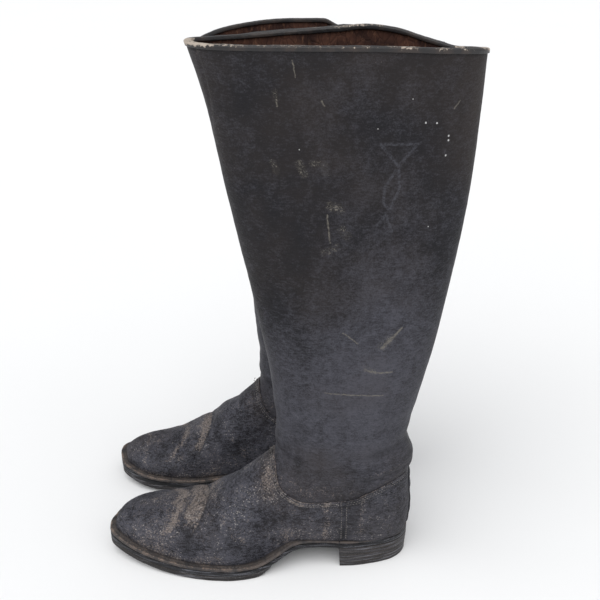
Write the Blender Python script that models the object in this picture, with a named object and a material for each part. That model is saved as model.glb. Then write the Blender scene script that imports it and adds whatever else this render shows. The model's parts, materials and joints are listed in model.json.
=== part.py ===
"""A pair of tall leather riding boots with stacked heels, half soles and pull straps.

Each boot is drawn in its own frame, in metres: its heel ends near x = 0, the toe points to -X,
y = 0 is the middle of the foot, the ground is z = 0. The left boot's outer side is at -Y, and the right
boot is its mirror image. The pair's frame has its origin under the middle of the pair's box.
"""

import math

import bmesh
import bpy
import numpy as np
from mathutils import Vector

# The pair
BOOT_SPACING = 0.130
RIGHT_BOOT_AHEAD = 0.013
GAP = 0.0003

# How wear has set each boot: the toe's top raised, and the bend of the ankle pushed forwards
LEFT_TOE_RISE = 0.0045
RIGHT_TOE_RISE = -0.003
LEFT_ANKLE_FORWARD = 0.0
RIGHT_ANKLE_FORWARD = 0.008

# Leather thicknesses
LEATHER = 0.0022
LINING = 0.0012
STIFFENER = 0.0022
PUFF = 0.0016
SEAM_OVERLAP = 0.005
SEAM_GAP = 0.0008
LEG_DIP = LEATHER + SEAM_GAP
DIP_HEIGHT = 0.016
LINING_DEPTH = LEATHER + STIFFENER + 2 * GAP
LINING_DROP = SEAM_OVERLAP + 0.0026

# Bottom of the boot
SOLE_LENGTH = 0.2915
HALF_SOLE = 0.0052
OUTSOLE = 0.0048
WELT = 0.0032
RAND = 0.0020
INSOLE = 0.0032
HEEL_SOCK = 0.0010
TOE_SPRING = 0.012
TOE_SPRING_FROM = -0.195
WAIST_FROM = -0.148
WAIST_TO = -0.101
HALF_SOLE_END = -0.124
HALF_SOLE_CORNER = 0.022
HEEL_BREAST = -0.066
HEEL_HEIGHT = 0.0225
HEEL_TOP_PIECE = 0.0050
HEEL_LIFTS = 4
HEEL_TAPER = 0.0003
WELT_EDGE = 0.006
WELT_WIDTH = 0.016
RAND_WIDTH = 0.012
UNDER_UPPER = 0.0008
HEEL_OVERHANG = 0.0008
INSOLE_INSET = 0.0055
SOCK_INSET = 0.0070
SOCK_FRONT = -0.101
TOE_BLUNTING = 0.0015
CORK_INSET = 0.0012
ROUND_END = 0.012

# Edge of the outsole, seen from above: toe, outer side, heel, inner side
SOLE_EDGE = (
    (-0.2909, -0.001),
    (-0.2852, -0.0150),
    (-0.257, -0.0335),
    (-0.215, -0.048),
    (-0.168, -0.0532),
    (-0.131, -0.044),
    (-0.108, -0.0350),
    (-0.084, -0.0318),
    (-0.050, -0.0325),
    (-0.012, -0.0215),
    (0.002, 0.000),
    (-0.012, 0.0215),
    (-0.050, 0.0315),
    (-0.092, 0.028),
    (-0.150, 0.036),
    (-0.205, 0.0465),
    (-0.252, 0.0458),
    (-0.2805, 0.0295),
    (-0.2882, 0.0135),
)

# Top line of the foot from the toe to the bend of the ankle, as (x, height)
INSTEP = (
    (-0.2855, 0.0265),
    (-0.284, 0.0305),
    (-0.279, 0.0350),
    (-0.270, 0.0392),
    (-0.258, 0.042),
    (-0.240, 0.0446),
    (-0.222, 0.0485),
    (-0.205, 0.055),
    (-0.186, 0.066),
    (-0.171, 0.078),
    (-0.151, 0.094),
    (-0.137, 0.105),
    (-0.128, 0.114),
)
# The same line carried on up through the leg, where it no longer bounds the foot
INSTEP_IN_LEG = ((-0.122, 0.140), (-0.110, 0.200), (-0.080, 0.300), (0.060, 0.320))

# Front edge, back edge and half width of the leg and heel, as (height, value)
LEG_FRONT = (
    (0.114, -0.128),
    (0.124, -0.126),
    (0.150, -0.1255),
    (0.200, -0.130),
    (0.278, -0.145),
    (0.365, -0.163),
    (0.445, -0.1782),
    (0.490, -0.1918),
)
LEG_BACK = (
    (0.028, 0.0005),
    (0.054, 0.0030),
    (0.075, 0.0016),
    (0.097, 0.0004),
    (0.111, 0.0038),
    (0.138, -0.0028),
    (0.181, 0.0055),
    (0.231, 0.0165),
    (0.300, 0.0280),
    (0.380, 0.0375),
    (0.440, 0.0405),
    (0.490, 0.0420),
)
HALF_WIDTH = (
    (0.028, 0.031),
    (0.050, 0.034),
    (0.080, 0.035),
    (0.130, 0.0365),
    (0.200, 0.038),
    (0.330, 0.036),
    (0.420, 0.036),
    (0.490, 0.0415),
)
# Roundness of the leg's and the foot's sections: 2 is an ellipse, more is squarer
LEG_POWER = 2.2
TOE_POWER = 2.5
# How much the foot swells between its feather line and its top
FOOT_SWELL = 0.10
# Where the leg or heel is widest
WIDEST_AT = ((0.028, -0.045), (0.075, -0.050), (0.120, -0.062), (0.490, -0.074))

# Height of the seam that joins vamp and counter to the leg, by the angle round the ankle
SEAM = (
    (0, 0.114),
    (20, 0.111),
    (38, 0.101),
    (55, 0.086),
    (70, 0.0757),
    (85, 0.079),
    (100, 0.087),
    (130, 0.0965),
    (180, 0.104),
)
SIDE_SEAM = -0.062

# Height of the rim, by the angle round the leg, on the outer and on the inner side
RIM_OUTER = ((0, 0.4905), (40, 0.492), (90, 0.493), (140, 0.489), (180, 0.4855))
RIM_INNER = (
    (0, 0.4905),
    (45, 0.4905),
    (65, 0.492),
    (90, 0.4955),
    (100, 0.4978),
    (112, 0.4953),
    (128, 0.488),
    (146, 0.483),
    (180, 0.4855),
)
# The right boot's leg has sunk, most of all in front and behind. Its outer rim has a step towards the back.
RIGHT_SINK = 0.008
RIGHT_FRONT_SINK = 0.0118
RIGHT_FRONT_ANGLE = 80
RIGHT_BACK_SINK = 0.008
RIGHT_BACK_ANGLES = (98, 165)
RIM_STEP = 0.006
RIM_STEP_ANGLES = (92, 99)

# Binding round the rim
BINDING = 0.0011
BINDING_DEPTH = 0.0038
BINDING_CORNER = 0.0005

# Strip up the back of the counter
STAY_HALF_WIDTH = 0.007
STAY_BOTTOM = 0.034
STAY_TOP = 0.094
STAY = 0.0012
STAY_GAP = 0.0006

# Pull straps inside the leg
STRAP_X = -0.023
STRAP_HINGE_Z = 0.426
STRAP_LENGTH = 0.040
STRAP_WIDTH = 0.025
STRAP_PLY = 0.0013
STRAP_FOLD_GAP = 0.0010
PATCH = 0.0016
PATCH_BOTTOM = 0.366
PATCH_TOP = 0.4235
PATCH_HALF_WIDTH = 0.0145
PATCH_WAIST_HALF_WIDTH = 0.008
STRAP_CLEARANCE = 0.0006

# Shank and cork filler between insole and outsole
SHANK_ENDS = (-0.138, -0.040)
SHANK_WIDTH = 0.013
SHANK = 0.0016
CORK_END = -0.142

BLACK_LEATHER = (0.032, 0.031, 0.036, 1.0)
WORN_LEATHER = (0.060, 0.052, 0.048, 1.0)
LINING_BROWN = (0.110, 0.045, 0.028, 1.0)
SOLE_BLACK = (0.024, 0.025, 0.031, 1.0)
VEGETABLE_TAN = (0.340, 0.200, 0.110, 1.0)
CORK = (0.260, 0.150, 0.080, 1.0)
STEEL = (0.420, 0.420, 0.430, 1.0)
WEBBING = (0.160, 0.115, 0.075, 1.0)


# Places along the foot and round the leg that neighbouring layers share, so that their facets are parallel
SOLE_SECTIONS = (
    -0.272, -0.258, -0.240, -0.220, -0.200, -0.180, -0.162, -0.150, -0.141, -0.133, -0.125,
    -0.117, -0.109, -0.101, -0.093, -0.082, -0.066, -0.050, -0.034, -0.020, -0.010,
)
FOOT_SECTIONS = (
    -0.2853, -0.2843, -0.2815, -0.277, -0.270, -0.259, -0.244, -0.227, -0.210, -0.193, -0.176, -0.160,
    -0.147, -0.136, -0.128,
)
FOOT_ROWS = 7
LEG_ANGLES = np.linspace(0, 180, 13)
TAB_ANGLES = (8, 22.5, 52.5, 67.5)
LEG_ROW_STEPS = (-SEAM_OVERLAP, 0.001, DIP_HEIGHT, 0.034)
LEG_ROWS_ABOVE = 6
ROW_UNDER_BINDING = 0.003
COUNTER_ROWS = 7


# Curves


def smooth_through(stations, at):
    """A smooth curve through (position, value) stations that never overshoots between two of them."""
    xs = np.array([s[0] for s in stations], float)
    ys = np.array([s[1] for s in stations], float)
    steps = np.diff(xs)
    slopes = np.diff(ys) / steps
    tangents = np.zeros(len(xs))
    tangents[0] = slopes[0]
    tangents[-1] = slopes[-1]
    for i in range(1, len(xs) - 1):
        if slopes[i - 1] * slopes[i] > 0:
            tangents[i] = 2 / (1 / slopes[i - 1] + 1 / slopes[i])
    at = np.clip(at, xs[0], xs[-1])
    i = np.clip(np.searchsorted(xs, at, side="right") - 1, 0, len(xs) - 2)
    t = (at - xs[i]) / steps[i]
    return (
        (2 * t**3 - 3 * t**2 + 1) * ys[i]
        + (t**3 - 2 * t**2 + t) * steps[i] * tangents[i]
        + (3 * t**2 - 2 * t**3) * ys[i + 1]
        + (t**3 - t**2) * steps[i] * tangents[i + 1]
    )


def smoothstep(low, high, at):
    t = np.clip((at - low) / (high - low), 0, 1)
    return t * t * (3 - 2 * t)


def closed_spline(points, per_span):
    """Points along a closed Catmull-Rom spline."""
    p = np.array(points, float)
    t = np.linspace(0, 1, per_span, endpoint=False)[:, None]
    spans = []
    for i in range(len(p)):
        a, b, c, d = (p[(i + k) % len(p)] for k in (-1, 0, 1, 2))
        curve = 2 * a - 5 * b + 4 * c - d
        twist = 3 * b - a - 3 * c + d
        spans.append(0.5 * (2 * b + (c - a) * t + curve * t**2 + twist * t**3))
    return np.concatenate(spans)


# Bottom surfaces


def outsole_bottom(x):
    """Height of the outsole's underside: toe spring, flat tread, raised waist, level heel seat."""
    spring = TOE_SPRING * (np.clip(TOE_SPRING_FROM - x, 0, None) / (TOE_SPRING_FROM + SOLE_LENGTH)) ** 1.7
    rise = HEEL_HEIGHT - HALF_SOLE - GAP
    return HALF_SOLE + GAP + spring + rise * smoothstep(WAIST_FROM, WAIST_TO, x)


def welt_thickness(x):
    return WELT + (RAND - WELT) * smoothstep(-0.110, HEEL_BREAST, x)


def welt_bottom(x):
    return outsole_bottom(x) + OUTSOLE + GAP


def feather(x):
    """Height at which the upper meets the welt or the rand."""
    return welt_bottom(x) + welt_thickness(x) + GAP


class Outline:
    """The sole's edge moved inwards by a distance, read as a half width at each x."""

    def __init__(self, inset=0.0):
        edge = closed_spline(SOLE_EDGE, 16)
        ahead = np.roll(edge, -1, axis=0) - np.roll(edge, 1, axis=0)
        inward = np.stack([-ahead[:, 1], ahead[:, 0]], axis=1)
        inward /= np.linalg.norm(inward, axis=1)[:, None]
        distance = (inset(edge[:, 0]) if callable(inset) else inset) * np.ones(len(edge))
        moved = edge + inward * distance[:, None]
        # Where the edge turns more tightly than the inset, the moved line folds over itself.
        nearest = np.min(np.linalg.norm(moved[:, None] - edge[None], axis=2), axis=1)
        moved = moved[nearest >= 0.96 * distance]
        toe = int(np.argmin(moved[:, 0]))
        moved = np.roll(moved, -toe, axis=0)
        heel = int(np.argmax(moved[:, 0]))
        self.toe = moved[0]
        self.heel = moved[heel]
        self.sides = {-1: moved[: heel + 1], 1: np.concatenate([moved[heel:], moved[:1]])[::-1]}

    def y(self, x, side):
        line = self.sides[side]
        return np.interp(x, line[:, 0], line[:, 1])


def upper_inset(x):
    """How far the upper stands inside the sole's edge: a welt in front, a slight overhang at the heel."""
    welt = WELT_EDGE * (1 - smoothstep(-0.150, -0.095, x))
    return welt - HEEL_OVERHANG * smoothstep(-0.095, -0.050, x)


FOOT = Outline(upper_inset)
EDGE = Outline()


# The upper's outer surface


def instep_height(x):
    return smooth_through(INSTEP + INSTEP_IN_LEG, x)


def front_edge(z):
    low = np.interp(z, [p[1] for p in INSTEP], [p[0] for p in INSTEP])
    return np.where(z < LEG_FRONT[0][0], low, smooth_through(LEG_FRONT, z))


def superellipse(ratio, power):
    """The square of a superellipse's half width, negative beyond its end."""
    inside = 1 - np.abs(ratio) ** power
    return np.sign(inside) * np.abs(inside) ** (2 / power)


def width_squared(x, z, side):
    """The square of the upper's half width on one side, at a place in the side view."""
    low = feather(x)
    top = instep_height(x)
    up = np.clip((z - low) / np.maximum(top - low, 0.0005), 0, 1.5)
    foot_width = np.abs(FOOT.y(x, side)) * (1 + FOOT_SWELL * up * (1 - up))
    foot = foot_width**2 * superellipse(up, TOE_POWER)
    middle = smooth_through(WIDEST_AT, z)
    back = smooth_through(LEG_BACK, z)
    reach = np.where(x < middle, middle - front_edge(z), back - middle)
    leg = smooth_through(HALF_WIDTH, z) ** 2 * superellipse((x - middle) / reach, LEG_POWER)
    share = 1 - (1 - smoothstep(-0.165, -0.090, x)) * (1 - smoothstep(0.060, 0.108, z))
    return foot * (1 - share) + leg * share


def on_upper(x, z, side):
    """Points of the upper's surface and their outward normals."""
    x, z = np.broadcast_arrays(np.asarray(x, float), np.asarray(z, float))
    h = 0.0002
    y = side * np.sqrt(np.maximum(width_squared(x, z, side), 0))
    nx = -(width_squared(x + h, z, side) - width_squared(x - h, z, side)) / (4 * h)
    nz = -(width_squared(x, z + h, side) - width_squared(x, z - h, side)) / (4 * h)
    normal = np.stack([nx, y, nz], axis=-1)
    normal /= np.maximum(np.linalg.norm(normal, axis=-1, keepdims=True), 1e-12)
    return np.stack([x, y, z], axis=-1), normal


def x_at_angle(degrees, z):
    """Where the ring round the leg at this height lies, at an angle from its front."""
    turn = np.cos(np.radians(degrees))
    along = np.abs(turn) ** (2 / LEG_POWER)
    middle = smooth_through(WIDEST_AT, z)
    front = middle - (middle - front_edge(z)) * along
    back = middle + (smooth_through(LEG_BACK, z) - middle) * along
    return np.where(turn > 0, front, back)


def seam_height(degrees):
    return smooth_through(SEAM, degrees)


def rim_height(degrees, side, right):
    height = smooth_through(RIM_OUTER if side < 0 else RIM_INNER, degrees)
    if right:
        height = height - RIGHT_SINK
        height = height - RIGHT_FRONT_SINK * (1 - smoothstep(0, RIGHT_FRONT_ANGLE, degrees))
        height = height - RIGHT_BACK_SINK * smoothstep(*RIGHT_BACK_ANGLES, degrees)
        if side < 0:
            height = height - RIM_STEP * smoothstep(*RIM_STEP_ANGLES, degrees)
    return height


def leg_dip(degrees, z):
    """How far the leg lies inside the outer surface, where it runs down under the vamp and counter."""
    seam = seam_height(degrees)
    return LEG_DIP * (1 - smoothstep(seam, seam + DIP_HEIGHT, z))


# Meshes


def material(name, colour, roughness, metallic=0.0):
    found = bpy.data.materials.get(name)
    if found:
        return found
    made = bpy.data.materials.new(name)
    made.use_nodes = True
    shader = made.node_tree.nodes["Principled BSDF"]
    shader.inputs["Base Color"].default_value = colour
    shader.inputs["Roughness"].default_value = roughness
    shader.inputs["Metallic"].default_value = metallic
    made.diffuse_color = colour
    return made


def grid_faces(rows, columns, closed=False):
    faces = []
    for r in range(rows - 1):
        for c in range(columns if closed else columns - 1):
            d = (c + 1) % columns
            faces.append((r * columns + c, r * columns + d, (r + 1) * columns + d, (r + 1) * columns + c))
    return faces


def worn(points, toe_rise, ankle_forward):
    """The points moved as wear has set this boot. It moves all layers alike."""
    x, z = points[:, 0].copy(), points[:, 2].copy()
    at_toe = smoothstep(-0.170, -0.235, x) * smoothstep(0.018, 0.034, z)
    at_bend = smoothstep(-0.050, -0.125, x) * smoothstep(0.060, 0.125, z) * smoothstep(0.290, 0.180, z)
    points[:, 2] += toe_rise * at_toe
    points[:, 0] -= ankle_forward * at_bend
    return points


class Boot:
    """Places the pieces of one boot in the pair's frame."""

    def __init__(self, name, origin, mirrored, toe_rise, ankle_forward):
        self.name = name
        self.mirrored = mirrored
        self.toe_rise = toe_rise
        self.ankle_forward = ankle_forward
        self.origin = Vector(origin)
        self.empty = bpy.data.objects.new(name + "_boot", None)
        self.empty.location = self.origin
        bpy.context.scene.collection.objects.link(self.empty)

    def place(self, points):
        points = worn(np.array(points, float), self.toe_rise, self.ankle_forward)
        if self.mirrored:
            points[:, 1] *= -1
        return points

    def add(self, piece, points, faces, surface, smooth=True, pivot=(0.0, 0.0, 0.0)):
        """Makes one piece. Its origin is the pivot, given in the boot's own frame."""
        pivot = self.place([pivot])[0]
        mesh = bpy.data.meshes.new(f"{self.name}_{piece}")
        mesh.from_pydata([tuple(p) for p in self.place(points) - pivot], [], faces)
        bm = bmesh.new()
        bm.from_mesh(mesh)
        bmesh.ops.remove_doubles(bm, verts=bm.verts, dist=0.00001)
        bmesh.ops.dissolve_degenerate(bm, edges=bm.edges, dist=0.00001)
        bmesh.ops.triangulate(bm, faces=[f for f in bm.faces if len(f.verts) > 3])
        bmesh.ops.recalc_face_normals(bm, faces=bm.faces)
        if bm.calc_volume(signed=True) < 0:
            bmesh.ops.reverse_faces(bm, faces=bm.faces)
        bm.to_mesh(mesh)
        bm.free()
        if smooth:
            mesh.shade_smooth()
            mesh.set_sharp_from_angle(angle=math.radians(40))
        mesh.materials.append(surface)
        made = bpy.data.objects.new(mesh.name, mesh)
        made.parent = self.empty
        made.location = Vector(pivot)
        bpy.context.scene.collection.objects.link(made)
        return made

    def sheet(self, piece, points, normals, faces, depths, surface):
        """A piece of leather: a patch of surface, thickened from one depth below it to another."""
        outer = points - normals * np.reshape(depths[0] * np.ones(len(points)), (-1, 1))
        inner = points - normals * np.reshape(depths[1] * np.ones(len(points)), (-1, 1))
        return self.solid(piece, outer, inner, faces, surface)

    def solid(self, piece, outer, inner, faces, surface, smooth=True):
        """Two matching patches joined round their open edges."""
        count = len(outer)
        used = {}
        for face in faces:
            for a, b in zip(face, face[1:] + face[:1]):
                used[(a, b)] = used.get((a, b), 0) + 1
        walls = [(b, a, a + count, b + count) for a, b in used if (b, a) not in used]
        back = [tuple(i + count for i in reversed(face)) for face in faces]
        return self.add(piece, np.concatenate([outer, inner]), faces + back + walls, surface, smooth)


# Leg


def leg_grid(angles, side, right):
    """Side-view places on the leg, from under the vamp's seam to the rim, one column for each angle."""
    seam = seam_height(angles)
    rows = [seam + step for step in LEG_ROW_STEPS]
    low = rows[-1]
    rim = rim_height(angles, side, right)
    under_binding = rim - BINDING_DEPTH - ROW_UNDER_BINDING
    for t in np.linspace(0, 1, LEG_ROWS_ABOVE + 1)[1:]:
        rows.append(low * (1 - t) + under_binding * t)
    rows.append(rim - 2 * GAP - BINDING)
    z = np.array(rows)
    return x_at_angle(angles, z), z


def add_leg_panel(boot, piece, side, surface):
    """One side of the leg, from its front seam to its back seam."""
    x, z = leg_grid(LEG_ANGLES, side, boot.mirrored)
    points, normals = on_upper(x, z, side)
    dip = leg_dip(LEG_ANGLES, z)
    points, normals, dip = points.reshape(-1, 3), normals.reshape(-1, 3), dip.ravel()
    made = [points - normals * (dip + depth)[:, None] for depth in (0, LEATHER)]
    for layer in made:
        layer[:, 1] = side * np.maximum(side * layer[:, 1], GAP / 2)
    boot.solid(piece, made[0], made[1], grid_faces(*z.shape), surface)


def ring(boot, grid_of):
    """Rows of places all the way round the leg, with their normals, as one closed grid."""
    parts = []
    for side, order in ((-1, slice(None, -1)), (1, slice(None, 0, -1))):
        x, z = grid_of(LEG_ANGLES, side, boot.mirrored)
        points, normals = on_upper(x, z, side)
        dip = leg_dip(LEG_ANGLES, z)
        parts.append([a[:, order] for a in (points, normals, dip)])
    points, normals, dip = (np.concatenate([p[k] for p in parts], axis=1) for k in range(3))
    return points.reshape(-1, 3), normals.reshape(-1, 3), dip.ravel()


def add_leg_lining(boot, surface):
    points, normals, dip = ring(boot, leg_grid)
    columns = 2 * len(LEG_ANGLES) - 2
    faces = grid_faces(len(points) // columns, columns, closed=True)
    outer = LEATHER + GAP
    boot.sheet("leg_lining", points, normals, faces, (dip + outer, dip + outer + LINING), surface)


def add_top_binding(boot, surface):
    """A strip folded over the rim, down the outside and the inside."""
    outside = -GAP - BINDING
    inside = LEATHER + LINING + 3 * GAP
    profile = (
        (outside, BINDING_DEPTH),
        (outside, BINDING_CORNER),
        (outside + BINDING_CORNER, 0.0),
        (inside + BINDING - BINDING_CORNER, 0.0),
        (inside + BINDING, BINDING_CORNER),
        (inside + BINDING, BINDING_DEPTH),
        (inside, BINDING_DEPTH),
        (inside, BINDING + GAP / 2),
        (outside + BINDING, BINDING + GAP / 2),
        (outside + BINDING, BINDING_DEPTH),
    )
    loops = []
    for depth, drop in profile:

        def edge_of(angles, side, right, drop=drop):
            z = (rim_height(angles, side, right) - drop)[None, :]
            return x_at_angle(angles, z), z

        points, normals, _ = ring(boot, edge_of)
        loops.append(points - normals * depth)
    columns = len(loops[0])
    loops.append(loops[0])
    faces = grid_faces(len(loops), columns, closed=True)
    boot.add("top_binding", np.concatenate(loops), faces, surface)


# Foot


def half_section(x, top, side, rise, rows):
    """A line up one side of the upper, from the feather line to a height."""
    t = np.sin(np.linspace(0, math.pi / 2, rows))
    low = feather(x) + rise
    return on_upper(np.full(rows, x), low + (top - low) * t, side)


def toe_patch(places, rise, rows):
    """A patch over toe and instep: each section runs from the outer feather line over the top to the inner."""
    points = []
    normals = []
    for x in places:
        top = float(instep_height(x))
        outer, outer_n = half_section(x, top, -1, rise, rows)
        inner, inner_n = half_section(x, top, 1, rise, rows)
        outer[-1, 1] = 0.0
        points.append(np.concatenate([outer, inner[-2::-1]]))
        normals.append(np.concatenate([outer_n, inner_n[-2::-1]]))
    return np.concatenate(points), np.concatenate(normals), grid_faces(len(places), 2 * rows - 1)


def vamp_patch(places, rear, top_drop, rise, rows):
    """The whole vamp: the toe patch, and on each side a tab that runs back below the seam."""
    points, normals, faces = toe_patch(places, rise, rows)
    points, normals = [points], [normals]
    count = 2 * rows - 1
    base = len(points[0])
    angles = np.sort(np.concatenate([LEG_ANGLES[1:], TAB_ANGLES]))
    top_z = seam_height(angles) - top_drop
    top_x = x_at_angle(angles, top_z)
    kept = (top_x > places[-1] + 0.0003) & (top_x < rear - 0.004)
    columns = list(zip(top_x[kept], top_z[kept]))
    columns.append((rear, seam_at(rear) - top_drop))
    for side in (-1, 1):
        last = len(points[0]) - count
        previous = [last + (r if side < 0 else count - 1 - r) for r in range(rows)]
        for x, top in columns:
            line, line_n = half_section(x, top, side, rise, rows)
            points.append(line)
            normals.append(line_n)
            current = [base + r for r in range(rows)]
            base += rows
            for r in range(rows - 1):
                face = (previous[r], previous[r + 1], current[r + 1], current[r])
                faces.append(face if side < 0 else face[::-1])
            previous = current
    return np.concatenate(points), np.concatenate(normals), faces


def seam_at(x):
    """Height of the seam at a place along the side of the ankle."""
    angles = np.linspace(0, 180, 181)
    z = seam_height(angles)
    return float(np.interp(x, x_at_angle(angles, z), z))


def add_vamp(boot, surface):
    points, normals, faces = vamp_patch(FOOT_SECTIONS, SIDE_SEAM - GAP, 0.0, UNDER_UPPER, FOOT_ROWS)
    boot.sheet("vamp", points, normals, faces, (0.0, LEATHER), surface)


def add_vamp_lining(boot, surface):
    places = [FOOT_SECTIONS[k] for k in (4, 5, 7, 9, 11, 12)]
    rear = SIDE_SEAM + 0.002
    points, normals, faces = vamp_patch(places, rear, LINING_DROP, 2 * UNDER_UPPER, FOOT_ROWS - 2)
    boot.sheet("vamp_lining", points, normals, faces, (LINING_DEPTH, LINING_DEPTH + LINING), surface)


def add_toe_puff(boot, surface):
    """The stiffener under the vamp's toe."""
    points, normals, faces = toe_patch(FOOT_SECTIONS[2:7], 2 * UNDER_UPPER, FOOT_ROWS)
    depth = LEATHER + GAP
    boot.sheet("toe_puff", points, normals, faces, (depth, depth + PUFF), surface)


def angle_at(x, z):
    """The angle round the leg's ring at which it passes this x."""
    middle = smooth_through(WIDEST_AT, z)
    reach = np.where(x < middle, middle - front_edge(z), smooth_through(LEG_BACK, z) - middle)
    along = np.clip(np.abs(x - middle) / reach, 0, 1) ** (LEG_POWER / 2)
    degrees = np.degrees(np.arccos(along))
    return np.where(x < middle, degrees, 180 - degrees)


def back_patch(front_x, drop, rise):
    """A patch of the upper round the heel, from a line on the outer side to the same line inside."""
    grid = []
    t = np.linspace(0, 1, COUNTER_ROWS)[:, None]
    low = float(feather(front_x)) + rise
    start = angle_at(front_x, low + (seam_at(front_x) - drop - low) * t)
    round_heel = np.tile(LEG_ANGLES[LEG_ANGLES > 95], (COUNTER_ROWS, 1))
    angles = np.concatenate([start, round_heel], axis=1)
    for side, order in ((-1, slice(None)), (1, slice(-2, None, -1))):
        z = low + (seam_height(angles) - drop - low) * t
        points, normals = on_upper(x_at_angle(angles, z), z, side)
        grid.append((points[:, order], normals[:, order]))
    points = np.concatenate([g[0] for g in grid], axis=1)
    normals = np.concatenate([g[1] for g in grid], axis=1)
    return points.reshape(-1, 3), normals.reshape(-1, 3), grid_faces(*points.shape[:2])


def add_counter_cover(boot, surface):
    points, normals, faces = back_patch(SIDE_SEAM + GAP, 0.0, 0.0)
    boot.sheet("counter_cover", points, normals, faces, (0.0, LEATHER), surface)


def add_counter_stiffener(boot, surface):
    depth = LEATHER + GAP
    points, normals, faces = back_patch(SIDE_SEAM + 0.004, LINING_DROP, UNDER_UPPER)
    boot.sheet("counter_stiffener", points, normals, faces, (depth, depth + STIFFENER), surface)


def add_counter_lining(boot, surface):
    points, normals, faces = back_patch(SIDE_SEAM + 0.004, LINING_DROP, UNDER_UPPER)
    boot.sheet("counter_lining", points, normals, faces, (LINING_DEPTH, LINING_DEPTH + LINING), surface)


def add_heel_stay(boot, surface):
    """A narrow strip up the back of the counter."""
    rows = 9
    z = np.linspace(STAY_BOTTOM, STAY_TOP, rows)
    columns = []
    back = smooth_through(LEG_BACK, z)
    for y in (-STAY_HALF_WIDTH, 0.0, STAY_HALF_WIDTH):
        side = -1 if y < 0 else 1
        x = x_at_width(abs(y), z, side) if abs(y) > 1e-6 else back
        columns.append(on_upper(x, z, side))
    points = np.stack([c[0] for c in columns], axis=1).reshape(-1, 3)
    normals = np.stack([c[1] for c in columns], axis=1).reshape(-1, 3)
    faces = grid_faces(rows, len(columns))
    boot.sheet("heel_stay", points, normals, faces, (-STAY_GAP - STAY, -STAY_GAP), surface)


def x_at_width(half_width, z, side):
    """Where the back of the heel has narrowed to this half width."""
    found = []
    for height in z:
        low, high = -0.040, float(smooth_through(LEG_BACK, height))
        for _ in range(40):
            middle = (low + high) / 2
            wide = width_squared(np.array(middle), np.array(height), side) > half_width**2
            low, high = (middle, high) if wide else (low, middle)
        found.append(low)
    return np.array(found)


# Bottom


def sections(low, high, round_low, round_high):
    """Places from one end to the other: the shared ones, and more where a round end turns."""
    found = [x for x in SOLE_SECTIONS if low + (ROUND_END if round_low else 0.003) < x]
    found = [x for x in found if x < high - (ROUND_END if round_high else 0.003)]
    near = [ROUND_END * k for k in (0.04, 0.15, 0.40, 0.75)]
    start = [low] + ([low + d for d in near] if round_low else [])
    end = ([high - d for d in reversed(near)] if round_high else []) + [high]
    return np.array(start + found + end)


def slab(boot, piece, outline, ends, bottom, thickness, surface, width=None):
    """A layer of the bottom that follows the outline between two ends, with a curved underside."""
    low = outline.toe[0] if ends[0] is None else ends[0]
    high = outline.heel[0] if ends[1] is None else ends[1]
    x = sections(low, high, ends[0] is None, ends[1] is None or width is not None)
    scale = np.ones(len(x)) if width is None else width(x)
    rows = [np.stack([x, outline.y(x, side) * scale, bottom(x)], axis=1) for side in (-1, 1)]
    under = np.concatenate(rows)
    over = under + np.array([0, 0, thickness])
    count = len(x)
    faces = [(i, i + 1, count + i + 1, count + i) for i in range(count - 1)]
    boot.solid(piece, over, under, faces, surface)


def heel_slab(boot, piece, inset, bottom, thickness, surface):
    """A lift of the heel: straight at the breast, round at the back."""
    outline = Outline(inset)
    t = np.sin(np.linspace(0, math.pi / 2, 9))
    x = HEEL_BREAST + inset + (outline.heel[0] - HEEL_BREAST - inset) * t
    outer = np.stack([x, outline.y(x, -1)], axis=1)
    inner = np.stack([x, outline.y(x, 1)], axis=1)[-2::-1]
    edge = np.concatenate([outer, inner])
    count = len(edge)
    under = np.column_stack([edge, np.full(count, bottom)])
    over = np.column_stack([edge, np.full(count, bottom + thickness)])
    boot.solid(piece, over, under, [tuple(range(count))], surface)


def strip(boot, piece, width, from_x, to_x, surface):
    """A strip along the edge of the sole, round the toe or round the heel, on top of the outsole."""
    outline = Outline(width)
    at_toe = to_x < 0
    low = EDGE.toe[0] if at_toe else from_x
    high = to_x if at_toe else EDGE.heel[0]
    outer_x = sections(low, high, at_toe, not at_toe)
    # The inner line keeps the outer line's places, but reaches less far at the round end.
    if at_toe:
        bend, end, inner_end = -0.250, low, outline.toe[0]
    else:
        bend, end, inner_end = -0.034, high, outline.heel[0]
    beyond = (outer_x < bend) if at_toe else (outer_x > bend)
    inner_x = np.where(beyond, bend + (outer_x - bend) * (inner_end - bend) / (end - bend), outer_x)
    lines = []
    for x, line in ((outer_x, EDGE), (inner_x, outline)):
        sides = [np.stack([x, line.y(x, side), welt_bottom(x)], axis=1) for side in (-1, 1)]
        if at_toe:
            lines.append(np.concatenate([sides[0][::-1], sides[1][1:]]))
        else:
            lines.append(np.concatenate([sides[0], sides[1][-2::-1]]))
    under = np.concatenate(lines)
    over = under.copy()
    over[:, 2] += welt_thickness(under[:, 0])
    count = len(lines[0])
    faces = [(i, i + 1, count + i + 1, count + i) for i in range(count - 1)]
    boot.solid(piece, over, under, faces, surface)


def half_sole_end(x):
    """How the half sole narrows to its round end under the waist."""
    ratio = np.clip((x - HALF_SOLE_END + HALF_SOLE_CORNER) / HALF_SOLE_CORNER, 0, 1)
    narrowest = 0.02
    return np.maximum(1 - ratio**3, narrowest) ** (1 / 3)


def half_sole_bottom(x):
    return outsole_bottom(x) - GAP - HALF_SOLE


def sock_bottom(x):
    return feather(x) + INSOLE + GAP


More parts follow.
